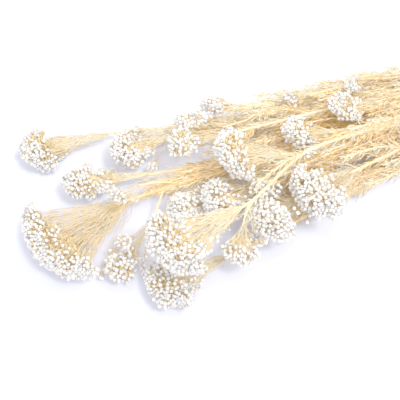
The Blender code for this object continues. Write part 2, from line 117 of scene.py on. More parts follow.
STEMS = (
    Stem(
        0,
        0,
        ((-130, 24, 7), (-270, 65, 10)),
        (Head((-386, 100, 13), (-430, 101, 19), (27, 24, 33), top=0.45, golden=-0.35),),
    ),
    Stem(
        0,
        1,
        ((-130, 13, 14), (-262, 50, 16)),
        (Head((-333, 70, 17), (-366, 67, 22), (24, 20, 30), top=0.6),),
    ),
    Stem(
        0,
        2,
        ((-130, -2, 7), (-250, 9, 10), (-307, 15, 19), (-345, 17, 20)),
        (
            Head((-404, 19, 20), (-450, 4, 26), (52, 29, 34), top=0.4, golden=0.25),
            Head((-390, -12, 12), (-416, -31, 14), (18, 16, 24), ((-362, 17, 20), (-378, 0, 16))),
            Head((-385, 13, 43), (-402, 7, 49), (11, 9, 13), ((-350, 17, 20), (-368, 15, 35))),
        ),
    ),
    Stem(
        0,
        3,
        ((-130, -26, 6), (-250, -47, 7), (-313, -54, 7)),
        (Head((-348, -57, 8), (-384, -63, 15), (29, 20, 33), top=0.7, golden=-0.1),),
    ),
    Stem(
        1,
        0,
        ((-130, 44, 17), (-216, 58, 22), (-250, 58, 30)),
        (
            Head((-268, 60, 35), (-290, 66, 40), (13, 11, 19)),
            Head((-292, 51, 27), (-316, 61, 35), (13, 10, 20), ((-236, 58, 27), (-266, 51, 26))),
        ),
    ),
    Stem(1, 1, ((-130, 20, 27), (-200, 26, 33)), (Head((-303, 33, 41), (-331, 36, 44), (19, 15, 22)),)),
    Stem(
        1,
        2,
        ((-130, -7, 15), (-230, 8, 17), (-307, 24, 17)),
        (Head((-370, 38, 18), (-409, 47, 22), (22, 18, 36), top=0.7, golden=-0.35),),
    ),
    Stem(
        1,
        3,
        ((-130, -14, 29), (-240, -18, 32)),
        (
            Head((-288, -19, 31), (-320, -21, 33), (25, 15, 30)),
            Head((-320, -14, 13), (-346, -9, 20), (18, 13, 28), ((-252, -18, 32), (-286, -16, 16))),
        ),
    ),
    Stem(1, 4, ((-130, -36, 14), (-230, -38, 12)), (Head((-272, -42, 17), (-298, -53, 32), (26, 20, 26)),)),
    Stem(
        2,
        0,
        ((-130, 38, 27), (-180, 44, 33)),
        (
            Head((-211, 45, 36), (-228, 48, 40), (9, 8, 11)),
            Head((-160, 38, 39), (-176, 33, 44), (9, 7, 10), ((-142, 39, 29), (-151, 40, 35))),
        ),
    ),
    Stem(
        2,
        1,
        ((-130, 4, 38),),
        (
            Head((-158, 1, 44), (-187, 6, 51), (19, 14, 34), top=0.55),
            Head(
                (-214, -6, 45),
                (-240, 0, 51),
                (19, 17, 26),
                ((-142, 3, 41), (-180, -10, 41), (-200, -10, 42)),
                top=0.5,
            ),
        ),
    ),
    Stem(
        2,
        2,
        ((-130, -4, 31), (-200, -7, 32), (-240, -8, 31)),
        (Head((-268, -7, 43), (-298, -3, 57), (30, 21, 30), top=0.45, golden=-0.3),),
    ),
    Stem(2, 3, ((-130, -29, 25),), (Head((-222, -41, 32), (-256, -51, 42), (33, 24, 28), top=0.9),)),
    Stem(
        3,
        0,
        ((-130, -17, 42), (-236, -18, 52), (-262, -22, 53), (-311, -42, 51)),
        (
            Head((-334, -47, 51), (-373, -55, 58), (38, 22, 37), top=0.6, golden=-0.25),
            Head(
                (-326, -54, 46),
                (-334, -66, 34),
                (20, 14, 20),
                ((-312, -42, 51), (-321, -49, 49)),
                golden=-0.3,
            ),
        ),
    ),
)


def band_foot():
    """The point of the table under the middle of the band."""
    low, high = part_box("tie_band")
    return Vector(((low.x + high.x) / 2, (low.y + high.y) / 2, 0))


BAND_FOOT = band_foot()

# Buds: the rings of one, each with a height, a radius and the way its edge waves, and their spread
BUD_SIDES = 5
BUD_RINGS = (
    (0.0, 0.24, 0),
    (0.38, 0.53, 1),
    (0.46, 0.48, 1),
    (0.78, 0.41, -1),
    (0.98, 0.14, 0),
)
BRACT_WAVE = 0.045
BUD_SPREAD = 0.56
BUD_SPLAY = 0.45
BUD_LEAN = 0.2
BUD_SIZE_SPREAD = 0.16
BUD_LIFT = 0.7 * MM
CLEAR_OF_STEM = 1.2 * MM

# Clusters of buds over a head's dome
DOME_EDGE = math.radians(78)
DOME_LAST = math.radians(86)
SURFACE_POWER = 1.6075
LEAST_CLUSTERS = 9
CLUSTER_BULGE = 1.6 * MM
CLUSTER_DROP = 3.6 * MM
CLUSTER_STRAY = 0.3
HEAD_LUMPS = 0.16
LUMP_WAVES = 2.2

# Stalks without buds: the shares in the hollows, behind an open top, and in the rest of an open head
BARE_SHARE = 0.6
BARE_BACK = 0.75
BARE_OPEN = 0.35
OPEN_BACK = ((0.4, 1), (0.6, 1.4))
TOP_STRAY = 0.08

# Loose clusters round the rims of the heads that lie inside the bunch
LOOSE_PER_CLUSTER = 0.4
LOOSE_REACH = (0.95, 1.15)
LOOSE_BACK = (0.1, 0.9)
LOOSE_TOP = ((0.4, 1), (-0.4, 1))
LOOSE_COMPANY = 13 * MM
LOOSE_NEAR_HEAD = 1.2

# Rays, which divide near the clusters, and the buds' own stalks
RAY_STEP = 4 * MM
LEAST_RAY_POINTS = 5
RAY_SIDES = 3
RAY_WIDTHS = (0.7, 1.6)
CLUSTERS_PER_RAY = 2
RAY_DIVIDES = 0.74
BRANCH_POINTS = 6
BRANCH_TAPER = 1.3
RAY_STRETCH = 16 * MM
RAY_STARTS = (0.5, 1)
RAY_LEAD = 0.35
RAY_FORWARD = -0.4
RAY_TURN_IN = 0.1
RAY_WAVE_LENGTH = 12 * MM
WAVE_SPREAD = (0.6, 1.4)
PEDICEL_SHARE = 0.55
PEDICEL_SIDES = 3
PEDICEL_SHAPE = np.array((0.9, 2.2))
PEDICEL_TONES = (0.3, 1)
PEDICEL_IN_BUD = 0.5 * MM
TONE_SPREAD = 0.35

# Sprigs of buds on the outer rays
SPRIGS_PER_RAY = 3
SPRIG_REACH = 0.66
SPRIG_FIRST = 0.65
SPRIG_OUT = (1 * MM, 6 * MM)
SPRIG_FORWARD = (4 * MM, 10 * MM)
SPRIG_BUDS = 2

# Narrow scales on the buds' own stalks
SCALE_LENGTH = 4.2 * MM
SCALE_WIDTH = 1.5 * MM
SCALE_RINGS = ((0.2, 0.5), (1, 0.06))
SCALE_SIDES = 3
SCALE_PLACES = (0.35, 0.9)
SCALE_LEAN = 0.5

# The stalks in the middle of a head: rings with a share of its depth and of its width
CORE_SIDES = 20
CORE_FILL = 0.66
CORE_LUMPS = 0.05
CORE_TONE = 1.0
OPEN_CORE = 0.7
CORE_RINGS = (
    (-0.06, 0.1),
    (0.02, 0.45),
    (0.14, 0.68),
    (0.32, 0.82),
    (0.52, 0.82),
    (0.75, 0.64),
    (0.92, 0.36),
    (0.98, 0.1),
)

# Needles
NEEDLE_POINTS = 3
NEEDLE_SIDES = 3
NEEDLE_PROFILE = (1, 0.9, 0)
NEEDLE_START = 34 * MM
NEEDLE_END = 2 * MM
NEEDLE_SPARSE = 60 * MM
NEEDLE_LEAST = 0.35
NEEDLE_LENGTHS = (0.6, 1.1)
NEEDLE_SWEEPS = (0.6, 1.4)
NEEDLE_CURL = (-0.7, 0.5)
NEEDLE_SKEW = 0.3
NEEDLE_TURN = 0.3
NEEDLE_TONES = 0.15

# Leafy side shoots, which lean into the bunch
SHOOT_START = 60 * MM
SHOOT_LAST = 25 * MM
SHOOT_LENGTHS = (40 * MM, 80 * MM)
SHOOT_OUT = (2 * MM, 12 * MM)
SHOOT_IN = 34 * MM
SHOOT_CROWDING = 1.5
SHOOT_POINTS = 8
SHOOT_SIDES = 5
SHOOT_ROOM = 1.05
SHOOT_COMPANY = 16 * MM
SHOOT_TONES = 0.28

# The bunch's height, its half width at the band and how that grows, which bound the shade painted on the
# needles inside it, and how that painted shade grows along X
BUNCH_HEIGHT = 76 * MM
BUNCH_HALF_WIDTH = 16 * MM
BUNCH_SPREAD = 0.16
BUNCH_SIDE = 1.1
BUNCH_PAINTED_SHADE_ALONG_X = ((-400 * MM, -200 * MM), (0.4, 1.4))

# Bark, and the pith of a cut end
BARK_STEP = 3.5 * MM
BARK_SIDES = 10
BARK_SWELL = 0.025
BARK_INSET = 0.85
PITH_SHARE = 0.78
PITH_PROUD = 0.03 * MM
PITH_TONE = 2.0

# How far the grains of the shapes are shifted at random, so that no two look alike
GRAIN_SHIFT = 100

# The stage: the camera, which stands at an angle from +X, the floor and the lamp
CAMERA_AZIMUTH = math.radians(-115)
CAMERA_ELEVATION = math.radians(55)
CAMERA_AIM = (-334.3, 7.1, 0)
CAMERA_VIEW_WIDTH = 0.340
CAMERA_LENS = 70
SENSOR_WIDTH = 36
FLOOR_SIZE = 6
FLOOR_ROUGHNESS = 0.9
SOFT_TONE = 1.72
LAMP_PLACE = (-290, -10, 270)
LAMP_SIZE = 0.25


class BudSettings(bpy.types.PropertyGroup):
    """The sizes and colours of the buds."""

    length: FloatProperty(name="Length", description="Length of a bud", default=3.0 * MM, unit="LENGTH")
    width: FloatProperty(name="Width", description="Width of a bud", default=2.9 * MM, unit="LENGTH")
    pitch: FloatProperty(
        name="Cluster pitch", description="Distance between two clusters", default=5.7 * MM, unit="LENGTH"
    )
    per_cluster: IntProperty(name="Cluster size", description="Number of buds in a cluster", default=4)
    ivory: FloatVectorProperty(
        name="Ivory", description="Colour of the papery bracts", default=(0.71, 0.71, 0.73), subtype="COLOR"
    )
    cream: FloatVectorProperty(
        name="Cream", description="Colour of the older buds", default=(0.73, 0.71, 0.66), subtype="COLOR"
    )
    foot: FloatVectorProperty(
        name="Foot", description="Tint at the foot of a bud", default=(0.96, 0.85, 0.64), subtype="COLOR"
    )


class StalkSettings(bpy.types.PropertyGroup):
    """The sizes and colours of the rays and pedicels that carry the buds."""

    ray_radius: FloatProperty(
        name="Ray radius", description="Radius of a ray at its root", default=0.36 * MM, unit="LENGTH"
    )
    pedicel_radius: FloatProperty(
        name="Pedicel radius", description="Radius of a bud's own stalk", default=0.24 * MM, unit="LENGTH"
    )
    pedicel_length: FloatProperty(
        name="Pedicel length", description="Length of a bud's own stalk", default=7 * MM, unit="LENGTH"
    )
    waviness: FloatProperty(
        name="Waviness", description="How far a ray sways to each side", default=1.2 * MM, unit="LENGTH"
    )
    straw: FloatVectorProperty(
        name="Straw", description="Colour of a pale ray", default=(0.78, 0.74, 0.58), subtype="COLOR"
    )
    gold: FloatVectorProperty(
        name="Gold", description="Colour of a golden ray", default=(0.70, 0.49, 0.20), subtype="COLOR"
    )
    # Partly the stalks' own colour near the buds and partly painted shade between the buds.
    brown: FloatVectorProperty(
        name="Brown", description="Colour near the buds", default=(0.96, 0.64, 0.24), subtype="COLOR"
    )


class StemSettings(bpy.types.PropertyGroup):
    """The colours of the stems, and the sizes and colours of their needle leaves and side shoots."""

    needle_length: FloatProperty(
        name="Needle length", description="Length of a needle leaf", default=13.5 * MM, unit="LENGTH"
    )
    needle_radius: FloatProperty(
        name="Needle radius", description="Radius of a needle leaf", default=0.43 * MM, unit="LENGTH"
    )
    needle_spacing: FloatProperty(
        name="Needle spacing", description="Distance between two needles", default=1.04 * MM, unit="LENGTH"
    )
    needle_sweep: FloatProperty(
        name="Needle sweep",
        description="Angle between a needle's root and the stem",
        default=math.radians(38),
        subtype="ANGLE",
    )
    shoot_spacing: FloatProperty(
        name="Shoot spacing", description="Distance between two leafy shoots", default=3 * MM, unit="LENGTH"
    )
    shoot_radius: FloatProperty(
        name="Shoot radius", description="Radius of a leafy shoot", default=0.6 * MM, unit="LENGTH"
    )
    needle_cream: FloatVectorProperty(
        name="Needle cream", description="A pale needle's colour", default=(0.97, 0.92, 0.73), subtype="COLOR"
    )
    # Also the colour of the shade painted on needles deep inside the bunch.
    needle_tan: FloatVectorProperty(
        name="Needle tan", description="Colour of a dark needle", default=(1.0, 0.62, 0.16), subtype="COLOR"
    )
    # Golden at the root: partly the needles' own colour and partly painted shade where they meet the stem.
    needle_root: FloatVectorProperty(
        name="Needle root", description="Tint at a needle's root", default=(1.0, 0.72, 0.36), subtype="COLOR"
    )
    bark_straw: FloatVectorProperty(
        name="Bark straw", description="Colour of the fibres", default=(0.97, 0.72, 0.32), subtype="COLOR"
    )
    bark_brown: FloatVectorProperty(
        name="Bark brown", description="Colour between fibres", default=(0.94, 0.56, 0.18), subtype="COLOR"
    )
    pith: FloatVectorProperty(
        name="Pith", description="Colour of a cut end", default=(0.88, 0.80, 0.62), subtype="COLOR"
    )


class BandSettings(bpy.types.PropertyGroup):
    """The colours of the elastic band."""

    rubber: FloatVectorProperty(
        name="Rubber", description="Colour of the rubber", default=(0.66, 0.45, 0.24), subtype="COLOR"
    )
    bloom: FloatVectorProperty(
        name="Bloom", description="Colour of its chalky bloom", default=(0.80, 0.64, 0.44), subtype="COLOR"
    )


class StageSettings(bpy.types.PropertyGroup):
    """The floor and the lights: a fill from all round, a wide one from the front, a key and a lamp."""

    floor: FloatVectorProperty(
        name="Floor", description="Colour of the floor", default=(0.67, 0.71, 0.90), subtype="COLOR"
    )
    fill: FloatVectorProperty(
        name="Fill", description="Colour of the fill light", default=(1.0, 0.95, 0.88), subtype="COLOR"
    )
    fill_strength: FloatProperty(
        name="Fill strength", description="Strength of the light from all round", default=0.82
    )
    front: FloatVectorProperty(
        name="Front", description="Colour of the front light", default=(0.95, 0.92, 0.92), subtype="COLOR"
    )
    front_strength: FloatProperty(
        name="Front strength", description="Strength of the front light", default=0.95
    )
    front_width: FloatProperty(
        name="Front width",
        description="Angle that the front light fills",
        default=math.radians(15),
        subtype="ANGLE",
    )
    key: FloatVectorProperty(
        name="Key", description="Colour of the key light", default=(0.97, 0.95, 0.92), subtype="COLOR"
    )
    key_strength: FloatProperty(name="Key strength", description="Strength of the key light", default=1.9)
    key_width: FloatProperty(
        name="Key width",
        description="Angle that the key light fills",
        default=math.radians(11),
        subtype="ANGLE",
    )
    key_elevation: FloatProperty(
        name="Key elevation", description="Height of the key light", default=math.radians(62), subtype="ANGLE"
    )
    key_azimuth: FloatProperty(
        name="Key azimuth",
        description="Bearing of the key light from +X",
        default=math.radians(-72),
        subtype="ANGLE",
    )
    lamp: FloatVectorProperty(
        name="Lamp", description="Colour of the soft lamp", default=(1.0, 0.93, 0.78), subtype="COLOR"
    )
    lamp_power: FloatProperty(name="Lamp power", description="Power of the lamp, in watts", default=0.40)


class BunchSettings(bpy.types.PropertyGroup):
    """All the settings of the bunch."""

    buds: PointerProperty(type=BudSettings, name="Buds", description="The buds")
    stalks: PointerProperty(type=StalkSettings, name="Stalks", description="The rays and pedicels")
    stems: PointerProperty(type=StemSettings, name="Stems", description="The stems and their needles")
    band: PointerProperty(type=BandSettings, name="Band", description="The elastic band")
    stage: PointerProperty(type=StageSettings, name="Stage", description="The floor and the lights")


def settings():
    """The settings of the scene that is open."""
    return bpy.context.scene.rice_flower


def unit(vectors):
    """Vectors made 1 long."""
    return vectors / np.linalg.norm(vectors, axis=-1, keepdims=True)


def place(point):
    """A place given in millimetres from the foot of the band's middle, in the frame."""
    return Vector(point) * MM + BAND_FOOT


def bundle_slot(row, number):
    """The middle of a stem under the band, where the stems lie in rows, each in the hollows of the last."""
    across = ((BUNDLE_ROWS[row] - 1) / 2 - number) * BUNDLE_PITCH
    lowest = BAND_THICKNESS + TOUCHING_GAP + STEM_RADIUS
    return BAND_FOOT + Vector((0, across, lowest + row * BUNDLE_PITCH * math.sin(math.pi / 3)))


def smooth_path(points, step, lead=None):
    """Points about a step apart on a smooth curve through some points, which may leave the first one along
    a given direction."""
    path = [points[0].copy()]
    for i in range(len(points) - 1):
        start, end = points[i], points[i + 1]
        before = points[max(i - 1, 0)]
        after = points[min(i + 2, len(points) - 1)]
        handle = (end - start).length / 3
        leaving = lead if i == 0 and lead else (end - before).normalized()
        arriving = (after - start).normalized()
        count = max(1, round((end - start).length / step))
        curve = interpolate_bezier(start, start + leaving * handle, end - arriving * handle, end, count + 1)
        path += curve[1:]
    return path


def stem_name(index):
    """The name of a stem's node."""
    return f"stem_{index + 1:02d}"


def head_name(stem_index, head_index):
    """The name of a head's node."""
    return f"head_{stem_index + 1:02d}{'abc'[head_index]}"


def all_heads():
    """Every head of the bunch, after the numbers of its stem and of the head on that stem."""
    for i, stem in enumerate(STEMS):
        for k, head in enumerate(stem.heads):
            yield i, k, head


def stem_line(index):
    """The middle line of a stem, from its cut end through the band to its first fork."""
    stem = STEMS[index]
    slot = bundle_slot(stem.row, stem.place)
    middle = (bundle_slot(0, 0) + bundle_slot(len(BUNDLE_ROWS) - 1, 0)) / 2
    middle.y = BAND_FOOT.y
    along = Vector((1, 0, 0))
    end = slot + (slot - middle) * CUT_END_SPREAD
    end.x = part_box(stem_name(index))[1].x
    end.z = max(end.z, STEM_RADIUS)
    tail = smooth_path([slot + along * STRAIGHT_IN_BAND, end], BARK_STEP, along)
    points = [slot - along * STRAIGHT_IN_BAND, *map(place, stem.way), place(stem.heads[0].fork)]
    return np.array(tail[::-1] + smooth_path(points, BARK_STEP, -along))


def twig_line(head, carrier):
    """The middle line of a twig, from the nearest place on its stem to its own fork."""
    first = np.array(place(head.twig[0]))
    root = Vector(carrier[np.linalg.norm(carrier - first, axis=1).argmin()])
    return np.array(smooth_path([root, *map(place, head.twig[1:]), place(head.fork)], BARK_STEP))


def head_lines(index):
    """The line that carries each head of a stem: the stem's own, and then its twigs'."""
    line = stem_line(index)
    return [line] + [twig_line(head, line) for head in STEMS[index].heads[1:]]


@cache
def all_lines():
    """The middle lines of all the stems and twigs."""
    return [line for index in range(len(STEMS)) for line in head_lines(index)]


def nearest(points, line):
    """How far each point is from the nearest point of a line."""
    return np.linalg.norm(points[:, None] - line[None], axis=2).min(axis=1)


def head_frame(head):
    """The directions across a head, up it and out of its dome, as the columns of a matrix, and the middle of
    its rim."""
    rim = place(head.rim)
    out = (rim - place(head.fork)).normalized()
    across = Vector((0, 0, 1)).cross(out).normalized()
    return np.array((across, out.cross(across), out)).T, np.array(rim)


def in_head_sizes(points, head):
    """How far points lie across a head, up it and out of its dome, in shares of its own sizes."""
    turn, rim = head_frame(head)
    return (points - rim) @ turn / (np.array(head.size) * MM)


def sunflower(count):
    """Points in a sunflower's spiral that fill a disc of radius 1 evenly."""
    number = np.arange(count)
    reach = np.sqrt((number + 0.5) / count)
    return np.column_stack((reach * np.cos(number * GOLDEN_ANGLE), reach * np.sin(number * GOLDEN_ANGLE)))


def on_dome(size, spots):
    """Points on a head's dome and the directions that they face, for spots in a disc: equal areas of the
    disc are equal areas of a round dome."""
    share = 1 - (1 - math.cos(DOME_EDGE)) * (spots**2).sum(axis=1)
    out_angle = np.minimum(DOME_LAST, np.arccos(share))[:, None]
    facing = np.hstack((unit(spots) * np.sin(out_angle), np.cos(out_angle)))
    return facing * size, unit(facing / size)


def dome_area(size):
    """The area of half an ellipsoid, within about one part in a hundred."""
    a, b, c = size
    mean = ((a * b) ** SURFACE_POWER + (a * c) ** SURFACE_POWER + (b * c) ** SURFACE_POWER) / 3
    return 2 * math.pi * mean ** (1 / SURFACE_POWER)


def sides_of(facing, hint):
    """Two directions square to each facing direction and to each other, the first one square to a hint."""
    side = unit(np.cross(facing, hint))
    return side, np.cross(facing, side)


@dataclass
class HeadPlan:
    """Where a head's buds stand and which way they face, the lines of its rays, of their branches and of the
    buds' own stalks, and which stalks have lost their bud."""

    feet: np.ndarray
    facing: np.ndarray
    rays: np.ndarray
    branches: np.ndarray
    pedicels: np.ndarray
    bare: np.ndarray


def cluster_buds(crowns, normals, sizes, draw):
    """Buds over the crown of each cluster: they splay out towards its edge, and stand lower there."""
    disc = sunflower(sizes.per_cluster)
    reach = np.linalg.norm(disc, axis=1)
    radius = sizes.pitch * BUD_SPREAD
    side, up = sides_of(normals, draw.normal(size=normals.shape))
    spread = disc[:, 0, None] * side[:, None] + disc[:, 1, None] * up[:, None]
    drop = CLUSTER_BULGE * reach**2 + draw.uniform(-BUD_LIFT, BUD_LIFT, (len(crowns), len(disc)))
    feet = crowns[:, None] + spread * radius - normals[:, None] * drop[..., None]
    facing = unit(normals[:, None] + spread * BUD_SPLAY + draw.normal(scale=BUD_LEAN, size=spread.shape))
    return feet, facing


def line_reach(line):
    """How far along a line each of its points lies."""
    return np.linalg.norm(np.diff(line, axis=0, prepend=line[:1]), axis=1).cumsum()


def points_at(line, reach, spots):
    """The points of a line where its reach has some values."""
    return np.column_stack([np.interp(spots, reach, line[:, axis]) for axis in range(3)])


def bezier(start, leave, arrive, end, count):
    """Points on cubic curves, one for each row of the four arrays."""
    t = np.linspace(0, 1, count)[:, None]
    parts = ((1 - t) ** 3, 3 * (1 - t) ** 2 * t, 3 * (1 - t) * t**2, t**3)
    return sum(part * points[:, None] for part, points in zip(parts, (start, leave, arrive, end)))


def sway(lines, amount, draw):
    """Lines made wavy, most in their middles."""
    t = np.linspace(0, 1, lines.shape[1])
    along = lines[:, -1] - lines[:, 0]
    reach = np.linalg.norm(along, axis=1, keepdims=True)
    for direction in sides_of(along / reach, draw.normal(size=along.shape)):
        phase = draw.uniform(0, 1, (len(lines), 1))
        waves = reach / RAY_WAVE_LENGTH * draw.uniform(*WAVE_SPREAD, (len(lines), 1))
        swing = np.sin(math.tau * (t * waves + phase)) * np.sin(math.pi * t) * amount
        lines = lines + swing[..., None] * direction[:, None]
    return lines


def ray_lines(joints, normals, line, draw):
    """Rays that leave the last stretch of a stem, the outermost first, and bow out to the clusters."""
    back = np.linalg.norm(line - line[-1], axis=1)[::-1]
    start = np.linspace(0, 1, len(joints)) ** 2 * RAY_STRETCH * draw.uniform(*RAY_STARTS, len(joints))
    roots = points_at(line[::-1], back, start)
    forward = unit(line[-1] - line[-3])
    run = joints - roots
    reach = np.linalg.norm(run, axis=1, keepdims=True) * RAY_LEAD
    departure = unit(unit(run) + forward * RAY_FORWARD)
    arrival = unit(unit(run) + normals * RAY_TURN_IN)
    count = max(LEAST_RAY_POINTS, round(np.linalg.norm(run, axis=1).mean() / RAY_STEP))
    lines = bezier(roots, roots + departure * reach, joints - arrival * reach, joints, count)
    return sway(lines, settings().stalks.waviness, draw)


def ray_groups(joints, normals, spots, fork):
    """Clusters that share a ray: where each ray divides, its direction there, and the ray of each cluster.
    Each loose cluster, after those that have a spot on the dome, has a ray of its own."""
    firsts = spots[::CLUSTERS_PER_RAY]
    group = np.linalg.norm(spots[:, None] - firsts[None], axis=2).argmin(axis=1)
    group = np.concatenate((group, len(firsts) + np.arange(len(joints) - len(spots))))
    members = (group[None] == np.arange(group.max() + 1)[:, None]).astype(float)
    members /= members.sum(axis=1, keepdims=True)
    return fork + (members @ joints - fork) * RAY_DIVIDES, unit(members @ normals), group


def branch_lines(rays, joints, normals, draw):
    """The branches of the rays, each from the end of its ray to the foot of its cluster."""
    ends = rays[:, -1]
    reach = np.linalg.norm(joints - ends, axis=1, keepdims=True) * RAY_LEAD
    departure = unit(ends - rays[:, -2])
    lines = bezier(ends, ends + departure * reach, joints - normals * reach, joints, BRANCH_POINTS)
    return sway(lines, settings().stalks.waviness / 2, draw)


def sprigs(rays, middle, out, draw):
    """Sprigs that leave the outer rays, most of them near their ends, and carry a few buds on the outside of
    the head: their pedicels' roots, and their buds' feet and directions."""
    chosen = np.repeat(rays, SPRIGS_PER_RAY, axis=0)
    share = SPRIG_FIRST + (1 - SPRIG_FIRST) * np.sqrt(draw.random(len(chosen)))
    roots = chosen[np.arange(len(chosen)), (share * (rays.shape[1] - 1)).astype(int)]
    aside = roots - middle
    aside = unit(aside - (aside @ out)[:, None] * out)
    feet = roots + aside * draw.uniform(*SPRIG_OUT, (len(chosen), 1))
    feet = feet + out * draw.uniform(*SPRIG_FORWARD, (len(chosen), 1))
    facing = unit(feet - roots)
    spread = draw.normal(size=(len(chosen), SPRIG_BUDS, 3))
    width = settings().buds.width
    bud_feet = feet[:, None] + unit(spread) * width / 2
    bud_facing = unit(facing[:, None] + spread * BUD_SPLAY)
    return np.repeat(roots, SPRIG_BUDS, axis=0), bud_feet.reshape(-1, 3), bud_facing.reshape(-1, 3)


def loose_clusters(shell, top, count, draw):
    """The crowns and the directions of clusters that stand loose round the rim of a head, nearer to it where
    its upper side is open."""
    turn = draw.uniform(0, math.tau, count)
    aside = np.column_stack((np.cos(turn), np.sin(turn), np.zeros(count)))
    back = np.column_stack((np.zeros((count, 2)), draw.uniform(*LOOSE_BACK, count) * top))
    crowns = (aside * draw.uniform(*LOOSE_REACH, (count, 1)) - back) * shell
    return crowns, unit(aside + (0, 0, 1))


def in_company(points, name, line):
    """Which points lie close to another head or stem, and so inside the bunch."""
    others = np.vstack([other for other in all_lines() if not np.array_equal(other[-1], line[-1])])
    near = nearest(points, others) < LOOSE_COMPANY
    for i, k, head in all_heads():
        if head_name(i, k) != name:
            near |= np.linalg.norm(in_head_sizes(points, head), axis=1) < LOOSE_NEAR_HEAD
    return near


def clear_of_others(feet, name, line):
    """Which buds stand clear of the other heads and of the stems."""
    clear = nearest(feet, line) > STEM_TIP_RADIUS + CLEAR_OF_STEM
    for i, k, head in all_heads():
        if head_name(i, k) != name:
            local = in_head_sizes(feet, head)
            clear &= ((local**2).sum(axis=1) > 1) | (local[:, 2] < 0)
    for other in all_lines():
        clear &= nearest(feet, other) > CLEAR_OF_STEM
    return clear


def bud_shell(head):
    """The half width, half height and depth of the shell that a head's buds stand on."""
    return np.array(head.size) * MM - settings().buds.length


def pedicel_length(shell):
    """The length of a bud's own stalk in a head of a given size."""
    return min(settings().stalks.pedicel_length, PEDICEL_SHARE * shell.min())


def dome_clusters(head, shell, draw):
    """The clusters over a head's dome: their crowns and directions, their spots in a disc, and the share of
    each one's stalks that have lost their buds, which is large in the hollows and behind an open top."""
    pitch = settings().buds.pitch
    count = max(LEAST_CLUSTERS, round(dome_area(shell) * (1 - math.cos(DOME_EDGE)) / pitch**2))
    spots = sunflower(count) + draw.uniform(-1, 1, (count, 2)) * CLUSTER_STRAY / math.sqrt(count)
    spots /= np.maximum(1, np.linalg.norm(spots, axis=1, keepdims=True))
    crowns, normals = on_dome(shell, spots)
    waves = spots @ draw.normal(scale=LUMP_WAVES, size=(2, 3)) + draw.uniform(0, math.tau, 3)
    sunk = (1 + np.sin(waves).mean(axis=1)) / 2
    crowns *= 1 - HEAD_LUMPS * sunk[:, None]
    crowns -= normals * draw.uniform(0, CLUSTER_DROP, (count, 1))
    crowns[:, 1] *= np.where(crowns[:, 1] > 0, head.top, 1)
    behind = spots[:, 1] > draw.normal(np.interp(head.top, *OPEN_BACK), TOP_STRAY, count)
    lost = np.maximum(BARE_SHARE * sunk**2, np.where(behind, BARE_BACK, BARE_OPEN * (1 - head.top)))
    return crowns, normals, spots, lost


def plan_head(stem_index, head_index):
    """The plan of a head: clusters of buds over its dome and loose ones round its rim, each on a ray, and
    sprigs on the outer rays. Buds that would stand in another head or a stem are left out."""
    head = STEMS[stem_index].heads[head_index]
    name = head_name(stem_index, head_index)
    line = head_lines(stem_index)[head_index]
    sizes = settings().buds
    draw = np.random.default_rng((stem_index, head_index))
    turn, rim = head_frame(head)
    shell = bud_shell(head)
    crowns, normals, spots, lost = dome_clusters(head, shell, draw)
    loose, leaning = loose_clusters(shell, head.top, round(len(spots) * LOOSE_PER_CLUSTER), draw)
    highest = shell[1] * np.interp(head.top, *LOOSE_TOP)
    near = in_company(loose @ turn.T + rim, name, line) & (loose[:, 1] < highest)
    crowns = np.vstack((crowns, loose[near])) @ turn.T + rim
    normals = np.vstack((normals, leaning[near])) @ turn.T
    joints = crowns - normals * pedicel_length(shell)
    feet, facing = cluster_buds(crowns, normals, sizes, draw)
    bare = np.zeros(feet.shape[:2], bool)
    bare[: len(spots)] = draw.random((len(spots), sizes.per_cluster)) < lost[:, None]
    hubs, leading, group = ray_groups(joints, normals, spots, line[-1])
    rays = ray_lines(hubs, leading, line, draw)
    branches = branch_lines(rays[group], joints, normals, draw)
    wide = np.linalg.norm(spots[::CLUSTERS_PER_RAY], axis=1) > SPRIG_REACH
    sprig_roots, sprig_feet, sprig_facing = sprigs(rays[: len(wide)][wide], rim, turn[:, 2], draw)
    roots = np.vstack((np.repeat(joints, sizes.per_cluster, axis=0), sprig_roots))
    feet = np.vstack((feet.reshape(-1, 3), sprig_feet))
    facing = np.vstack((facing.reshape(-1, 3), sprig_facing))
    bare = np.concatenate((bare.ravel(), np.zeros(len(sprig_feet), bool)))
    feet[:, 2] = np.maximum(feet[:, 2], sizes.width / 2)
    clear = clear_of_others(feet, name, line)
    clear[len(feet) - len(sprig_feet) :] &= (sprig_feet - rim) @ turn[:, 1] < highest
    roots, feet, facing = roots[clear], feet[clear], facing[clear]
    pedicels = np.stack((roots, feet + facing * PEDICEL_IN_BUD), axis=1)
    return HeadPlan(feet, facing, rays, branches, pedicels, bare[clear])


class Pile:
    """Many small shapes gathered into one mesh. Each point has a tone, which tells one shape from the next,
    how far along its shape it lies, and a place in the grain that the shape's fibres follow."""

    def __init__(self):
        self.points, self.triangles = [], []
        self.tone, self.along, self.grain = [], [], []
        self.size = 0

    def add(self, points, triangles, tone, along, grain):
        """Adds a shape. Its triangles count its own points."""
        self.points.append(points.reshape(-1, 3))
        self.triangles.append(triangles.reshape(-1, 3) + self.size)
        self.tone.append(tone.ravel())
        self.along.append(along.ravel())
        self.grain.append(grain.reshape(-1, 3))
        self.size += len(self.points[-1])

    def mesh(self, name):
        """The mesh of all the shapes, with their tones, places and grains as attributes."""
        mesh = bpy.data.meshes.new(name)
        mesh.from_pydata(np.concatenate(self.points), [], np.concatenate(self.triangles))
        for title, values in (("tone", self.tone), ("along", self.along)):
            mesh.attributes.new(title, "FLOAT", "POINT").data.foreach_set("value", np.concatenate(values))
        grain = mesh.attributes.new("grain", "FLOAT_VECTOR", "POINT")
        grain.data.foreach_set("vector", np.concatenate(self.grain).ravel())
        mesh.shade_smooth()
        return mesh


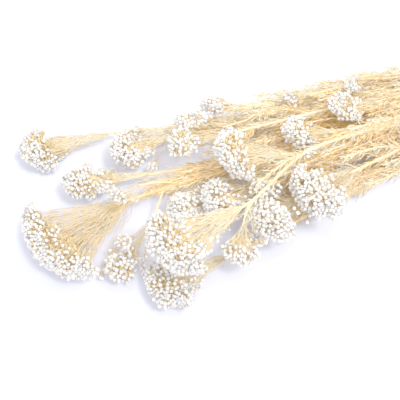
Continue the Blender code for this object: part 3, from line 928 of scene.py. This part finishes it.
def wall_triangles(rings, sides, closed=False):
    """Triangles over rings of points, each turning left as seen from the last one. In a closed wall the last
    ring meets the first."""
    ring, k = np.meshgrid(np.arange(rings if closed else rings - 1), np.arange(sides), indexing="ij")
    here, after = (ring * sides + k).ravel(), (ring * sides + (k + 1) % sides).ravel()
    above, corner = (here + sides) % (rings * sides), (after + sides) % (rings * sides)
    return np.vstack((np.column_stack((here, after, corner)), np.column_stack((here, corner, above))))


def tube_triangles(rings, sides):
    """Triangles over rings of points, with a fan over each end."""
    fan = np.array([(0, k + 1, k) for k in range(1, sides - 1)])
    return np.vstack((wall_triangles(rings, sides), fan, fan[:, ::-1] + (rings - 1) * sides))


def spike_triangles(rings, sides):
    """Triangles over rings of points, as a tube's, with a point after the last ring that closes it."""
    tube = tube_triangles(rings, sides)[: 2 - sides]
    last = (rings - 1) * sides
    cone = [(last + k, last + (k + 1) % sides, last + sides) for k in range(sides)]
    return np.vstack((tube, cone))


def add_copies(pile, shape, triangles, axes, feet, tone, draw):
    """Adds a copy of a shape at each foot, turned and scaled by the three axes given for it."""
    points = np.einsum("pk,nkj->npj", shape, axes) + feet[:, None]
    low = points[..., 2].min(axis=1)
    points[..., 2] += np.maximum(0, TABLE_GAP - low)[:, None]
    starts = np.arange(len(feet)) * len(shape)
    along = np.broadcast_to(shape[:, 2], points.shape[:2])
    grain = shape + draw.uniform(0, GRAIN_SHIFT, (len(feet), 1, 3))
    tones = np.broadcast_to(tone[:, None], points.shape[:2])
    pile.add(points, triangles + starts[:, None, None], tones, along, grain)


def add_tubes(pile, lines, radii, sides, tone, draw, pointed=False):
    """Adds a closed tube round each line, with a radius for each of its points. A pointed one ends in a
    single point."""
    count, length, _ = lines.shape
    lines = lines.copy()
    radii = np.broadcast_to(radii, (count, length))
    lines[..., 2] = np.maximum(lines[..., 2], radii + TABLE_GAP)
    along = unit(np.gradient(lines, axis=1))
    lean = np.eye(3)[np.abs(lines[:, -1] - lines[:, 0]).argmin(axis=1)]
    side, up = sides_of(along, lean[:, None])
    turns = math.tau * np.arange(sides) / sides
    round_it = np.cos(turns)[:, None] * side[:, :, None] + np.sin(turns)[:, None] * up[:, :, None]
    points = lines[:, :, None] + round_it * radii[..., None, None]
    step = np.linalg.norm(np.diff(lines, axis=1, prepend=lines[:, :1]), axis=2).cumsum(axis=1) / MM
    grain = np.empty(points.shape)
    grain[..., 0], grain[..., 1] = np.cos(turns), np.sin(turns)
    grain[..., 2] = step[..., None]
    grain += draw.uniform(0, GRAIN_SHIFT, (count, 1, 1, 3))
    share = np.broadcast_to(np.linspace(0, 1, length)[None, :, None, None], (*points.shape[:3], 1))
    rows = np.concatenate((points, grain, share), axis=3).reshape(count, length * sides, 7)
    triangles = tube_triangles(length, sides)
    if pointed:
        rows = rows[:, : (length - 1) * sides + 1]
        rows[:, -1, :3] = lines[:, -1]
        triangles = spike_triangles(length - 1, sides)
    starts = np.arange(count) * rows.shape[1]
    tones = np.broadcast_to(tone[:, None], rows.shape[:2])
    pile.add(rows[..., :3], triangles + starts[:, None, None], tones, rows[..., 6], rows[..., 3:6])


def add_pith(pile, line, radius):
    """Adds the pale pith of a cut end, which is the first point of a line."""
    along = unit(line[0] - line[1])
    side, up = sides_of(along, UP)
    turns = math.tau * np.arange(BARK_SIDES) / BARK_SIDES
    ring = np.cos(turns)[:, None] * side + np.sin(turns)[:, None] * up
    points = line[0] + along * PITH_PROUD + ring * radius * PITH_SHARE
    fan = np.array([(0, k, k + 1) for k in range(1, BARK_SIDES - 1)])
    pile.add(points, fan, np.full(BARK_SIDES, PITH_TONE), np.zeros(BARK_SIDES), points / MM)


def add_core(pile, head, draw):
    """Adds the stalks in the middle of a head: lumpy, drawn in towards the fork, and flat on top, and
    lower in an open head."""
    turn, rim = head_frame(head)
    shell = bud_shell(head)
    size = (shell - pedicel_length(shell)) * CORE_FILL
    neck = (place(head.rim) - place(head.fork)).length
    turns = math.tau * np.arange(CORE_SIDES) / CORE_SIDES
    rings = []
    for along, reach in CORE_RINGS:
        depth = along * (size[2] if along > 0 else neck)
        ring = np.column_stack((np.cos(turns) * size[0], np.sin(turns) * size[1])) * reach
        ring *= 1 + draw.normal(scale=CORE_LUMPS, size=(CORE_SIDES, 1))
        rings.append(np.column_stack((ring, np.full(CORE_SIDES, depth))))
    points = np.array(rings)
    points[..., 1] = np.minimum(points[..., 1], size[1] * (head.top - OPEN_CORE))
    share = np.linspace(0, 1, len(CORE_RINGS))[:, None]
    grain = points / MM
    grain[..., :2] = np.column_stack((np.cos(turns), np.sin(turns))) * size[:2] / MM
    triangles = tube_triangles(len(CORE_RINGS), CORE_SIDES)
    placed = points.reshape(-1, 3) @ turn.T + rim
    placed[:, 2] = np.maximum(placed[:, 2], TABLE_GAP)
    tone = np.full(points.shape[:2], CORE_TONE)
    pile.add(placed, triangles, tone, np.broadcast_to(share, points.shape[:2]), grain)


def bud_shape():
    """A bud 1 long and 1 wide. Two rows of papery bracts overlap like tiles, each with a waved edge that
    stands a little proud, and the last ones close over the top."""
    points = []
    for height, radius, wave in BUD_RINGS:
        for k in range(BUD_SIDES):
            turn = math.tau * k / BUD_SIDES
            edge = height + wave * BRACT_WAVE * math.cos(2 * turn)
            points.append((radius * math.cos(turn), radius * math.sin(turn), edge))
    return np.array(points), tube_triangles(len(BUD_RINGS), BUD_SIDES)


def scale_shape():
    """A narrow scale 1 long and 1 wide, pointed at both ends."""
    points = []
    for height, radius in SCALE_RINGS:
        for k in range(SCALE_SIDES):
            turn = math.tau * k / SCALE_SIDES
            points.append((radius * math.cos(turn), radius * math.sin(turn), height))
    return np.array(points), tube_triangles(len(SCALE_RINGS), SCALE_SIDES)


def add_piece(name, mesh, material, slot, *nodes):
    """Adds a piece that stands for some nodes of the part."""
    piece = bpy.data.objects.new(name, mesh)
    bpy.context.scene.collection.objects.link(piece)
    piece.data.materials.append(material)
    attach(piece, "root")
    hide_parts(*nodes)
    return piece


class Finish:
    """A procedural material: short names for the nodes that its looks are made of."""

    def __init__(self, name):
        self.material = bpy.data.materials.new(name)
        self.material.use_nodes = True
        self.tree = self.material.node_tree
        self.shader = self.tree.nodes["Principled BSDF"]

    def node(self, kind, **values):
        """A new node of a kind, with some of its properties set."""
        node = self.tree.nodes.new(kind)
        for title, value in values.items():
            setattr(node, title, value)
        return node

    def join(self, start, end):
        """Links an output to an input."""
        self.tree.links.new(start, end)

    def attribute(self, title, output="Fac"):
        """What the mesh says of each point."""
        return self.node("ShaderNodeAttribute", attribute_name=title).outputs[output]

    def ramp(self, factor, stops):
        """A colour for each value of a factor, from stops of a position and a colour."""
        ramp = self.node("ShaderNodeValToRGB")
        elements = ramp.color_ramp.elements
        while len(elements) < len(stops):
            elements.new(0.5)
        for element, (position, colour) in zip(elements, stops):
            element.position = position
            element.color = (*colour, 1)
        self.join(factor, ramp.inputs["Fac"])
        return ramp.outputs["Color"]

    def level(self, factor, low, high, to_low=0.0, to_high=1.0):
        """A factor whose range from low to high is made another range."""
        ranged = self.node("ShaderNodeMapRange")
        self.join(factor, ranged.inputs["Value"])
        for title, value in (("From Min", low), ("From Max", high), ("To Min", to_low), ("To Max", to_high)):
            ranged.inputs[title].default_value = value
        return ranged.outputs["Result"]

    def noise(self, stretch, scale, detail=2.0):
        """Noise in the grain of the piece, drawn out along its fibres."""
        mapping = self.node("ShaderNodeMapping")
        mapping.inputs["Scale"].default_value = stretch
        self.join(self.attribute("grain", "Vector"), mapping.inputs["Vector"])
        noise = self.node("ShaderNodeTexNoise")
        noise.inputs["Scale"].default_value = scale
        noise.inputs["Detail"].default_value = detail
        self.join(mapping.outputs["Vector"], noise.inputs["Vector"])
        return noise.outputs["Fac"]

    def mix(self, factor, first, second, blend="MIX"):
        """Two colours mixed by a factor, each either a socket or a colour."""
        mix = self.node("ShaderNodeMix", data_type="RGBA", blend_type=blend)
        for value, socket in ((factor, mix.inputs[0]), (first, mix.inputs[6]), (second, mix.inputs[7])):
            if isinstance(value, bpy.types.NodeSocket):
                self.join(value, socket)
            else:
                socket.default_value = value if isinstance(value, float) else (*value, 1)
        return mix.outputs[2]

    def bump(self, height, distance, strength=0.5):
        """Fine relief, as high as a distance."""
        bump = self.node("ShaderNodeBump")
        bump.inputs["Distance"].default_value = distance
        bump.inputs["Strength"].default_value = strength
        self.join(height, bump.inputs["Height"])
        self.join(bump.outputs["Normal"], self.shader.inputs["Normal"])

    def glow(self, weight, radius, scale):
        """Light that passes through the thin dry tissue."""
        self.shader.inputs["Subsurface Weight"].default_value = weight
        self.shader.inputs["Subsurface Radius"].default_value = radius
        self.shader.inputs["Subsurface Scale"].default_value = scale

    def colour(self, socket):
        """The colour of the surface."""
        self.join(socket, self.shader.inputs["Base Color"])

    def roughness(self, socket):
        """The roughness of the surface."""
        self.join(socket, self.shader.inputs["Roughness"])


def papery_ivory():
    """Dry ivory bracts: golden at the foot, with a tan line of painted shade under each row's edge, and a few
    older buds.
    """
    looks = settings().buds
    finish = Finish("papery_ivory")
    age = finish.level(finish.attribute("tone"), low=0.55, high=1.0)
    body = finish.mix(age, tuple(looks.ivory), tuple(looks.cream))
    foot, plain = tuple(looks.foot), (1, 1, 1)
    # Painted shade: a tan line under the edge of each row of bracts.
    shade_under_lower_row, shade_under_upper_row = (0.93, 0.85, 0.70), (0.95, 0.89, 0.76)
    stops = [(0.0, foot), (0.06, foot), (0.2, plain)]
    stops += [(0.33, plain), (0.37, shade_under_lower_row), (0.42, plain)]
    stops += [(0.62, plain), (0.66, shade_under_upper_row), (0.72, plain)]
    shade = finish.ramp(finish.attribute("along"), stops)
    fibres = finish.noise(stretch=(3, 3, 0.6), scale=3.0)
    finish.colour(finish.mix(1.0, body, shade, "MULTIPLY"))
    finish.roughness(finish.level(fibres, low=0.3, high=0.7, to_low=0.55, to_high=0.85))
    finish.bump(fibres, distance=0.08 * MM)
    finish.glow(weight=1.0, radius=(1.0, 0.92, 0.8), scale=5 * MM)
    return finish.material


def golden_stalk():
    """Dry stalks: straw and gold, no two alike, with fine fibres, golden at the fork, and brown towards the
    buds, partly their own colour and partly painted shade between the buds.
    """
    looks = settings().stalks
    finish = Finish("golden_stalk")
    gold, along = tuple(looks.gold), finish.attribute("along")
    fibres = finish.noise(stretch=(1.2, 1.2, 0.25), scale=1.6, detail=3.0)
    own = finish.mix(finish.attribute("tone"), tuple(looks.straw), gold)
    streaked = finish.mix(finish.level(fibres, low=0.35, high=0.75, to_high=0.7), own, gold)
    rooted = finish.mix(finish.level(along, low=0.3, high=0.0, to_high=0.8), streaked, gold)
    # Brown towards the bud end of every stalk: partly the stalks' own colour and partly painted shade between
    # the buds.
    brown_and_shade_at_buds = finish.level(along, low=0.55, high=1.0, to_high=0.6)
    finish.colour(finish.mix(brown_and_shade_at_buds, rooted, tuple(looks.brown)))
    finish.roughness(finish.level(fibres, low=0.3, high=0.7, to_low=0.5, to_high=0.75))
    finish.bump(fibres, distance=0.1 * MM)
    finish.glow(weight=0.25, radius=(1.0, 0.7, 0.4), scale=0.3 * MM)
    return finish.material


def needle_leaf():
    """Dry needle leaves: cream to tan by a tone that is random and also painted shade deep inside the bunch,
    with streaks of tan, and golden at the root, partly their own colour and partly painted shade by the stem.
    """
    looks = settings().stems
    finish = Finish("needle_leaf")
    tan, plain = tuple(looks.needle_tan), (1, 1, 1)
    fibres = finish.noise(stretch=(1.5, 1.5, 0.3), scale=1.4)
    own = finish.mix(finish.attribute("tone"), tuple(looks.needle_cream), tan)
    stops = [(0.0, tuple(looks.needle_root)), (0.5, plain), (1.0, plain)]
    shade = finish.ramp(finish.attribute("along"), stops)
    worn = finish.mix(finish.level(fibres, low=0.5, high=0.8, to_high=0.4), own, tan)
    finish.colour(finish.mix(1.0, worn, shade, "MULTIPLY"))
    finish.roughness(finish.level(fibres, low=0.3, high=0.7, to_low=0.5, to_high=0.75))
    finish.bump(fibres, distance=0.08 * MM)
    finish.glow(weight=0.25, radius=(1.0, 0.7, 0.4), scale=0.3 * MM)
    return finish.material


def fibrous_bark():
    """Straw bark: long fibres with golden brown between them, over a tone of each stem's own, and pale pith
    where the tone is highest."""
    looks = settings().stems
    finish = Finish("fibrous_bark")
    brown, pith, tone = tuple(looks.bark_brown), tuple(looks.pith), finish.attribute("tone")
    fibres = finish.noise(stretch=(2.2, 2.2, 0.1), scale=2.2, detail=4.0)
    blotches = finish.noise(stretch=(0.3, 0.3, 0.05), scale=1.0)
    body = finish.mix(finish.level(fibres, low=0.38, high=0.66), brown, tuple(looks.bark_straw))
    toned = finish.mix(finish.level(tone, low=0.0, high=1.0, to_high=0.55), body, pith)
    aged = finish.mix(finish.level(blotches, low=0.5, high=0.75, to_high=0.6), toned, brown)
    finish.colour(finish.mix(finish.level(tone, low=1.0, high=PITH_TONE), aged, pith))
    finish.roughness(finish.level(fibres, low=0.3, high=0.7, to_low=0.75, to_high=0.5))
    finish.bump(fibres, distance=0.25 * MM, strength=0.7)
    return finish.material


def natural_rubber():
    """Matt natural rubber with a chalky bloom and fine scratches across its turns."""
    looks = settings().band
    finish = Finish("natural_rubber")
    patches = finish.noise(stretch=(0.4, 0.4, 0.4), scale=1.0, detail=3.0)
    scratches = finish.noise(stretch=(6, 6, 0.4), scale=1.6)
    chalky = finish.level(patches, low=0.4, high=0.7, to_high=0.8)
    finish.colour(finish.mix(chalky, tuple(looks.rubber), tuple(looks.bloom)))
    finish.roughness(finish.level(patches, low=0.3, high=0.7, to_low=0.45, to_high=0.8))
    finish.bump(scratches, distance=0.08 * MM)
    return finish.material


class RICEFLOWER_OT_buds(bpy.types.Operator):
    """Make the small papery buds of every head"""

    bl_idname = "rice_flower.buds"
    bl_label = "Buds"

    def execute(self, context):
        sizes = context.scene.rice_flower.buds
        material = papery_ivory()
        shape, triangles = bud_shape()
        for i, k, _ in all_heads():
            plan = plan_head(i, k)
            feet, facing = plan.feet[~plan.bare], plan.facing[~plan.bare]
            draw = np.random.default_rng((i, k, 1))
            size = 1 + draw.uniform(-BUD_SIZE_SPREAD, BUD_SIZE_SPREAD, (len(feet), 1))
            side, up = sides_of(facing, draw.normal(size=facing.shape))
            wide, long = size * sizes.width, size * sizes.length
            axes = np.stack((side * wide, up * wide, facing * long), axis=1)
            pile = Pile()
            add_copies(pile, shape, triangles, axes, feet, draw.random(len(feet)), draw)
            name = head_name(i, k)
            add_piece(name.replace("head", "buds"), pile.mesh(name), material, "bud_white", name)
        return {"FINISHED"}


def ray_tones(head, count, draw):
    """How golden each ray of a head is, from 0 to 1: less towards the outside of the head."""
    reach = np.linalg.norm(sunflower(count), axis=1)
    return np.clip(1 - reach + head.golden + draw.normal(scale=TONE_SPREAD, size=count), 0, 1)


def add_scales(pile, pedicels, draw):
    """Adds a narrow scale to each bud's own stalk, leaning away from it a little."""
    shape, triangles = scale_shape()
    share = draw.uniform(*SCALE_PLACES, (len(pedicels), 1))
    feet = pedicels[:, 0] * (1 - share) + pedicels[:, 1] * share
    facing = unit(unit(pedicels[:, 1] - pedicels[:, 0]) + draw.normal(scale=SCALE_LEAN, size=feet.shape))
    side, up = sides_of(facing, draw.normal(size=facing.shape))
    axes = np.stack((side * SCALE_WIDTH, up * SCALE_WIDTH, facing * SCALE_LENGTH), axis=1)
    add_copies(pile, shape, triangles, axes, feet, draw.random(len(feet)), draw)


class RICEFLOWER_OT_stalks(bpy.types.Operator):
    """Make the rays, their branches, the buds' own stalks with their scales, and the core of every head"""

    bl_idname = "rice_flower.stalks"
    bl_label = "Stalks"

    def execute(self, context):
        sizes = context.scene.rice_flower.stalks
        material = golden_stalk()
        for i, k, head in all_heads():
            plan = plan_head(i, k)
            draw = np.random.default_rng((i, k, 2))
            pile = Pile()
            tone = ray_tones(head, len(plan.rays), draw)
            radii = np.linspace(sizes.ray_radius, sizes.pedicel_radius, plan.rays.shape[1])
            radii = radii * draw.uniform(*RAY_WIDTHS, (len(plan.rays), 1))
            add_tubes(pile, plan.rays, radii, RAY_SIDES, tone, draw)
            radii = np.linspace(sizes.pedicel_radius * BRANCH_TAPER, sizes.pedicel_radius, BRANCH_POINTS)
            add_tubes(pile, plan.branches, radii, RAY_SIDES, draw.random(len(plan.branches)), draw)
            radii = PEDICEL_SHAPE * sizes.pedicel_radius
            tone = draw.uniform(*PEDICEL_TONES, len(plan.pedicels))
            add_tubes(pile, plan.pedicels, radii, PEDICEL_SIDES, tone, draw)
            add_scales(pile, plan.pedicels, draw)
            add_core(pile, head, draw)
            name = head_name(i, k)
            add_piece(name.replace("head", "stalks"), pile.mesh(name), material, "straw", stem_name(i))
        return {"FINISHED"}


class RICEFLOWER_OT_stems(bpy.types.Operator):
    """Make the stems and their twigs, with their bark and cut ends"""

    bl_idname = "rice_flower.stems"
    bl_label = "Stems"

    def execute(self, context):
        material = fibrous_bark()
        for i in range(len(STEMS)):
            draw = np.random.default_rng((i, 3))
            tone = draw.random(1)
            pile = Pile()
            for number, line in enumerate(head_lines(i)):
                if number:
                    radii = np.linspace(TWIG_RADIUS, TWIG_TIP_RADIUS, len(line))
                else:
                    share = np.clip((BAND_FOOT.x - line[:, 0]) / (BAND_FOOT.x - line[-1, 0]), 0, 1)
                    radii = STEM_RADIUS + (STEM_TIP_RADIUS - STEM_RADIUS) * share
                radii = radii * BARK_INSET * (1 + draw.normal(scale=BARK_SWELL, size=len(line)))
                add_tubes(pile, line[None], radii, BARK_SIDES, tone, draw)
                if not number:
                    add_pith(pile, line, radii[0])
            name = stem_name(i)
            add_piece(f"bark_{i + 1:02d}", pile.mesh(name), material, "straw", name)
        return {"FINISHED"}


class RICEFLOWER_OT_needles(bpy.types.Operator):
    """Make the needle leaves along every stem"""

    bl_idname = "rice_flower.needles"
    bl_label = "Needles"

    def execute(self, context):
        sizes = context.scene.rice_flower.stems
        material = needle_leaf()
        profile = np.array(NEEDLE_PROFILE) * sizes.needle_radius
        for i in range(len(STEMS)):
            draw = np.random.default_rng((i, 4))
            pile = Pile()
            line = head_lines(i)[0]
            shoots = shoot_lines(line, sizes, draw)
            for carrier, sparse in [(line, NEEDLE_SPARSE)] + [(shoot, 0) for shoot in shoots]:
                leaves = needle_lines(carrier, sparse, sizes, draw)
                # The tone is painted shade, tan deep inside the bunch and cream on its top and sides, with a
                # random change for each shoot and each needle.
                tone = painted_shade_in_bunch(leaves[:, 0]) + draw.normal(scale=SHOOT_TONES)
                tone = np.clip(tone + draw.normal(scale=NEEDLE_TONES, size=len(leaves)), 0, 1)
                add_tubes(pile, leaves, profile, NEEDLE_SIDES, tone, draw, pointed=True)
            if len(shoots):
                add_tubes(pile, shoots, sizes.shoot_radius, SHOOT_SIDES, draw.random(len(shoots)), draw)
            name = stem_name(i)
            add_piece(f"needles_{i + 1:02d}", pile.mesh(name), material, "straw", name)
        return {"FINISHED"}


def painted_shade_in_bunch(points):
    """Painted shade for needles at points inside the bunch, from how far inside they lie: 0 on its top and at
    its sides, 1 in the middle of its underside, and less towards the heads."""
    x, y, z = (points - BAND_FOOT).T
    aside = np.abs(y) / (BUNCH_HALF_WIDTH - BUNCH_SPREAD * x)
    inside = np.clip(1 - z / BUNCH_HEIGHT, 0, 1) * np.clip(BUNCH_SIDE - aside**2, 0, 1)
    return inside * np.interp(x, *BUNCH_PAINTED_SHADE_ALONG_X)


def shoot_lines(line, sizes, draw):
    """Leafy shoots that leave a stem all along it and then run beside it, clear of the heads."""
    reach = line_reach(line)
    spot = np.arange(0, reach[-1], sizes.shoot_spacing)
    spot = spot + draw.uniform(0, sizes.shoot_spacing, len(spot))
    length = draw.uniform(*SHOOT_LENGTHS, len(spot))
    roots, ends = points_at(line, reach, spot), points_at(line, reach, spot + length)
    keep = (roots[:, 0] < BAND_FOOT.x - SHOOT_START) & (spot < reach[-1] - SHOOT_LAST)
    roots, ends, length = roots[keep], ends[keep], length[keep, None]
    run = unit(ends - roots)
    side, up = sides_of(run, UP)
    turn = (np.arange(len(roots)) * GOLDEN_ANGLE + draw.uniform(0, math.tau))[:, None]
    out = np.cos(turn) * side + np.sin(turn) * up
    inward = out[:, 1] * (roots[:, 1] - BAND_FOOT.y) < 0
    furthest = np.where(inward, SHOOT_IN, SHOOT_OUT[1])[:, None]
    out *= SHOOT_OUT[0] + (furthest - SHOOT_OUT[0]) * draw.random((len(roots), 1)) ** SHOOT_CROWDING
    ends = roots + run * length + out
    shoots = bezier(roots, roots + run * length / 3 + out, ends - run * length / 3, ends, SHOOT_POINTS)
    return shoots[[not in_a_head(shoot) and among_stems(shoot, line) for shoot in shoots]]


def among_stems(shoot, own):
    """Whether a shoot ends near another stem or twig, and so lies inside the bunch."""
    others = np.vstack([line for line in all_lines() if not np.array_equal(line[-1], own[-1])])
    return nearest(shoot[-1:], others)[0] < SHOOT_COMPANY


def in_a_head(points):
    """Whether any of the points lies inside a head."""
    for _, _, head in all_heads():
        local = in_head_sizes(points, head) / SHOOT_ROOM
        if (((local**2).sum(axis=1) < 1) & (local[:, 2] > 0)).any():
            return True
    return False


def needle_lines(line, sparse, sizes, draw):
    """Needles in a spiral along a stem or shoot, swept towards the heads and curled, and fewer on a sparse
    last stretch of a given length."""
    reach = line_reach(line)
    count = int(reach[-1] / sizes.needle_spacing)
    spot = np.sort(draw.uniform(0, reach[-1], count))
    roots, ahead = points_at(line, reach, spot), points_at(line, reach, spot + MM)
    left = reach[-1] - spot
    keep = (roots[:, 0] < BAND_FOOT.x - NEEDLE_START) & (left > NEEDLE_END)
    if sparse:
        keep &= draw.random(count) < NEEDLE_LEAST + (1 - NEEDLE_LEAST) * left / sparse
    roots, along = roots[keep], unit(ahead[keep] - roots[keep])
    side, up = sides_of(along, UP)
    turn = (np.arange(len(roots)) * GOLDEN_ANGLE + draw.normal(scale=NEEDLE_TURN, size=len(roots)))[:, None]
    out = np.cos(turn) * side + np.sin(turn) * up
    length = sizes.needle_length * draw.uniform(*NEEDLE_LENGTHS, (len(roots), 1))
    sweep = sizes.needle_sweep * draw.uniform(*NEEDLE_SWEEPS, (len(roots), 1))
    way = along * np.cos(sweep) + out * np.sin(sweep)
    curl = draw.normal(*NEEDLE_CURL, (len(roots), 1))
    bend = along * np.cos(sweep + curl) + out * np.sin(sweep + curl)
    skew = np.cross(along, out) * draw.normal(scale=NEEDLE_SKEW, size=(len(roots), 1))
    t = np.linspace(0, 1, NEEDLE_POINTS)[:, None]
    swing = way[:, None] * t + (bend - way + skew)[:, None] * t**2 / 2
    return roots[:, None] + swing * length[:, None]


def band_loop():
    """The loop that the band follows round the stems: its points, each with the way it faces."""
    middles = [bundle_slot(row, n) for row, count in enumerate(BUNDLE_ROWS) for n in range(count)]
    turns = math.tau * np.arange(BAND_LOOP_POINTS) / BAND_LOOP_POINTS
    facings = [Vector((0, math.cos(turn), math.sin(turn))) for turn in turns]
    reach = STEM_RADIUS + TOUCHING_GAP + BAND_THICKNESS / 2
    corners = [(middle + facing * reach, facing) for middle in middles for facing in facings]
    return [corners[i] for i in convex_hull_2d([point.yz for point, _ in corners])]


def band_section():
    """The section of one turn of the band, a rounded rectangle: how far along X and how far out its points
    lie."""
    turns = math.tau * np.arange(BAND_SECTION_POINTS) / BAND_SECTION_POINTS
    across, out = (np.sign(wave) * np.abs(wave) ** BAND_ROUNDNESS for wave in (np.cos(turns), np.sin(turns)))
    return across * BAND_TURN_WIDTH * BAND_TURN_FILL / 2, out * BAND_THICKNESS / 2


class RICEFLOWER_OT_band(bpy.types.Operator):
    """Make the elastic band: turns side by side that follow the outline of the bundle"""

    bl_idname = "rice_flower.band"
    bl_label = "Band"

    def execute(self, context):
        pile = Pile()
        loop = band_loop()
        across, out = band_section()
        for number in range(BAND_TURNS):
            along = across + (number - (BAND_TURNS - 1) / 2) * BAND_TURN_WIDTH
            rings = [np.array(point) + np.outer(out, facing) for point, facing in loop]
            points = np.array(rings) + np.outer(along, (1, 0, 0))
            plain = np.zeros(points.shape[:2])
            pile.add(points, wall_triangles(*plain.shape, closed=True), plain, plain, points / MM)
        add_piece("band_turns", pile.mesh("band"), natural_rubber(), "rubber", "tie_band")
        return {"FINISHED"}


class RICEFLOWER_OT_stage(bpy.types.Operator):
    """Make the pale floor, the soft light and the camera"""

    bl_idname = "rice_flower.stage"
    bl_label = "Stage"

    def execute(self, context):
        looks = context.scene.rice_flower.stage
        add_floor(looks)
        add_light(looks)
        add_camera()
        context.scene.view_settings.view_transform = "Standard"
        context.scene.view_settings.gamma = SOFT_TONE
        return {"FINISHED"}


def add_floor(looks):
    """Adds the pale floor."""
    bpy.ops.mesh.primitive_plane_add(size=FLOOR_SIZE)
    floor = bpy.context.object
    floor.name = "floor"
    finish = Finish("pale_floor")
    finish.shader.inputs["Base Color"].default_value = (*looks.floor, 1)
    finish.shader.inputs["Roughness"].default_value = FLOOR_ROUGHNESS
    floor.data.materials.append(finish.material)


def add_light(looks):
    """Adds the fill, the key, the front light and the lamp."""
    world = bpy.data.worlds.new("studio")
    world.use_nodes = True
    background = world.node_tree.nodes["Background"]
    background.inputs["Color"].default_value = (*looks.fill, 1)
    background.inputs["Strength"].default_value = looks.fill_strength
    bpy.context.scene.world = world
    add_sun("key", looks.key, looks.key_strength, looks.key_width, looks.key_azimuth, looks.key_elevation)
    front = looks.front, looks.front_strength, looks.front_width
    add_sun("front", *front, CAMERA_AZIMUTH, CAMERA_ELEVATION)
    add_lamp(looks)


def bearing(azimuth, elevation):
    """The direction of a place at an angle from +X round the bunch and at an angle above the floor."""
    flat = math.cos(elevation)
    return Vector((flat * math.cos(azimuth), flat * math.sin(azimuth), math.sin(elevation)))


def add_sun(name, colour, strength, width, azimuth, elevation):
    """Adds a wide, even light from a direction."""
    data = bpy.data.lights.new(name, "SUN")
    data.color = colour
    data.energy = strength
    data.angle = width
    light = bpy.data.objects.new(name, data)
    light.rotation_euler = bearing(azimuth, elevation).to_track_quat("Z", "Y").to_euler()
    bpy.context.scene.collection.objects.link(light)


def add_lamp(looks):
    """Adds a soft lamp over the heads in the middle, which lie in the shade of their neighbours."""
    data = bpy.data.lights.new("lamp", "AREA")
    data.shape = "DISK"
    data.size = LAMP_SIZE
    data.color = looks.lamp
    data.energy = looks.lamp_power
    light = bpy.data.objects.new("lamp", data)
    light.location = place(LAMP_PLACE)
    light.visible_camera = False
    bpy.context.scene.collection.objects.link(light)


def add_camera():
    """Adds the camera, which sees the bunch from the photo's direction."""
    data = bpy.data.cameras.new("camera")
    data.lens = CAMERA_LENS
    data.sensor_width = SENSOR_WIDTH
    camera = bpy.data.objects.new("camera", data)
    distance = CAMERA_VIEW_WIDTH * CAMERA_LENS / SENSOR_WIDTH
    towards = bearing(CAMERA_AZIMUTH, CAMERA_ELEVATION)
    camera.location = place(CAMERA_AIM) + towards * distance
    camera.rotation_euler = towards.to_track_quat("Z", "Y").to_euler()
    bpy.context.scene.collection.objects.link(camera)
    bpy.context.scene.camera = camera


class RICEFLOWER_PT_bunch(bpy.types.Panel):
    """The steps that make the bunch, with their settings"""

    bl_idname = "RICEFLOWER_PT_bunch"
    bl_label = "Rice Flower"
    bl_space_type = "VIEW_3D"
    bl_region_type = "UI"
    bl_category = "Rice Flower"

    def draw(self, context):
        for operator, title in STEPS:
            self.layout.operator(operator.bl_idname)
            box = self.layout.box()
            group = getattr(context.scene.rice_flower, title)
            for setting in group.bl_rna.properties.keys():
                if setting not in ("rna_type", "name"):
                    box.prop(group, setting)


STEPS = (
    (RICEFLOWER_OT_buds, "buds"),
    (RICEFLOWER_OT_stalks, "stalks"),
    (RICEFLOWER_OT_stems, "stems"),
    (RICEFLOWER_OT_needles, "stems"),
    (RICEFLOWER_OT_band, "band"),
    (RICEFLOWER_OT_stage, "stage"),
)
GROUPS = (BudSettings, StalkSettings, StemSettings, BandSettings, StageSettings, BunchSettings)
CLASSES = (*GROUPS, *(operator for operator, _ in STEPS), RICEFLOWER_PT_bunch)


def register():
    """Adds the settings, the operators and the panel to Blender."""
    for made in CLASSES:
        bpy.utils.register_class(made)
    bpy.types.Scene.rice_flower = PointerProperty(type=BunchSettings)


def unregister():
    """Takes the settings, the operators and the panel out of Blender."""
    del bpy.types.Scene.rice_flower
    for made in reversed(CLASSES):
        bpy.utils.unregister_class(made)


def main():
    """Makes the bunch and its stage."""
    register()
    bpy.ops.rice_flower.buds()
    bpy.ops.rice_flower.stalks()
    bpy.ops.rice_flower.stems()
    bpy.ops.rice_flower.needles()
    bpy.ops.rice_flower.band()
    bpy.ops.rice_flower.stage()


if __name__ == "__main__":
    main()
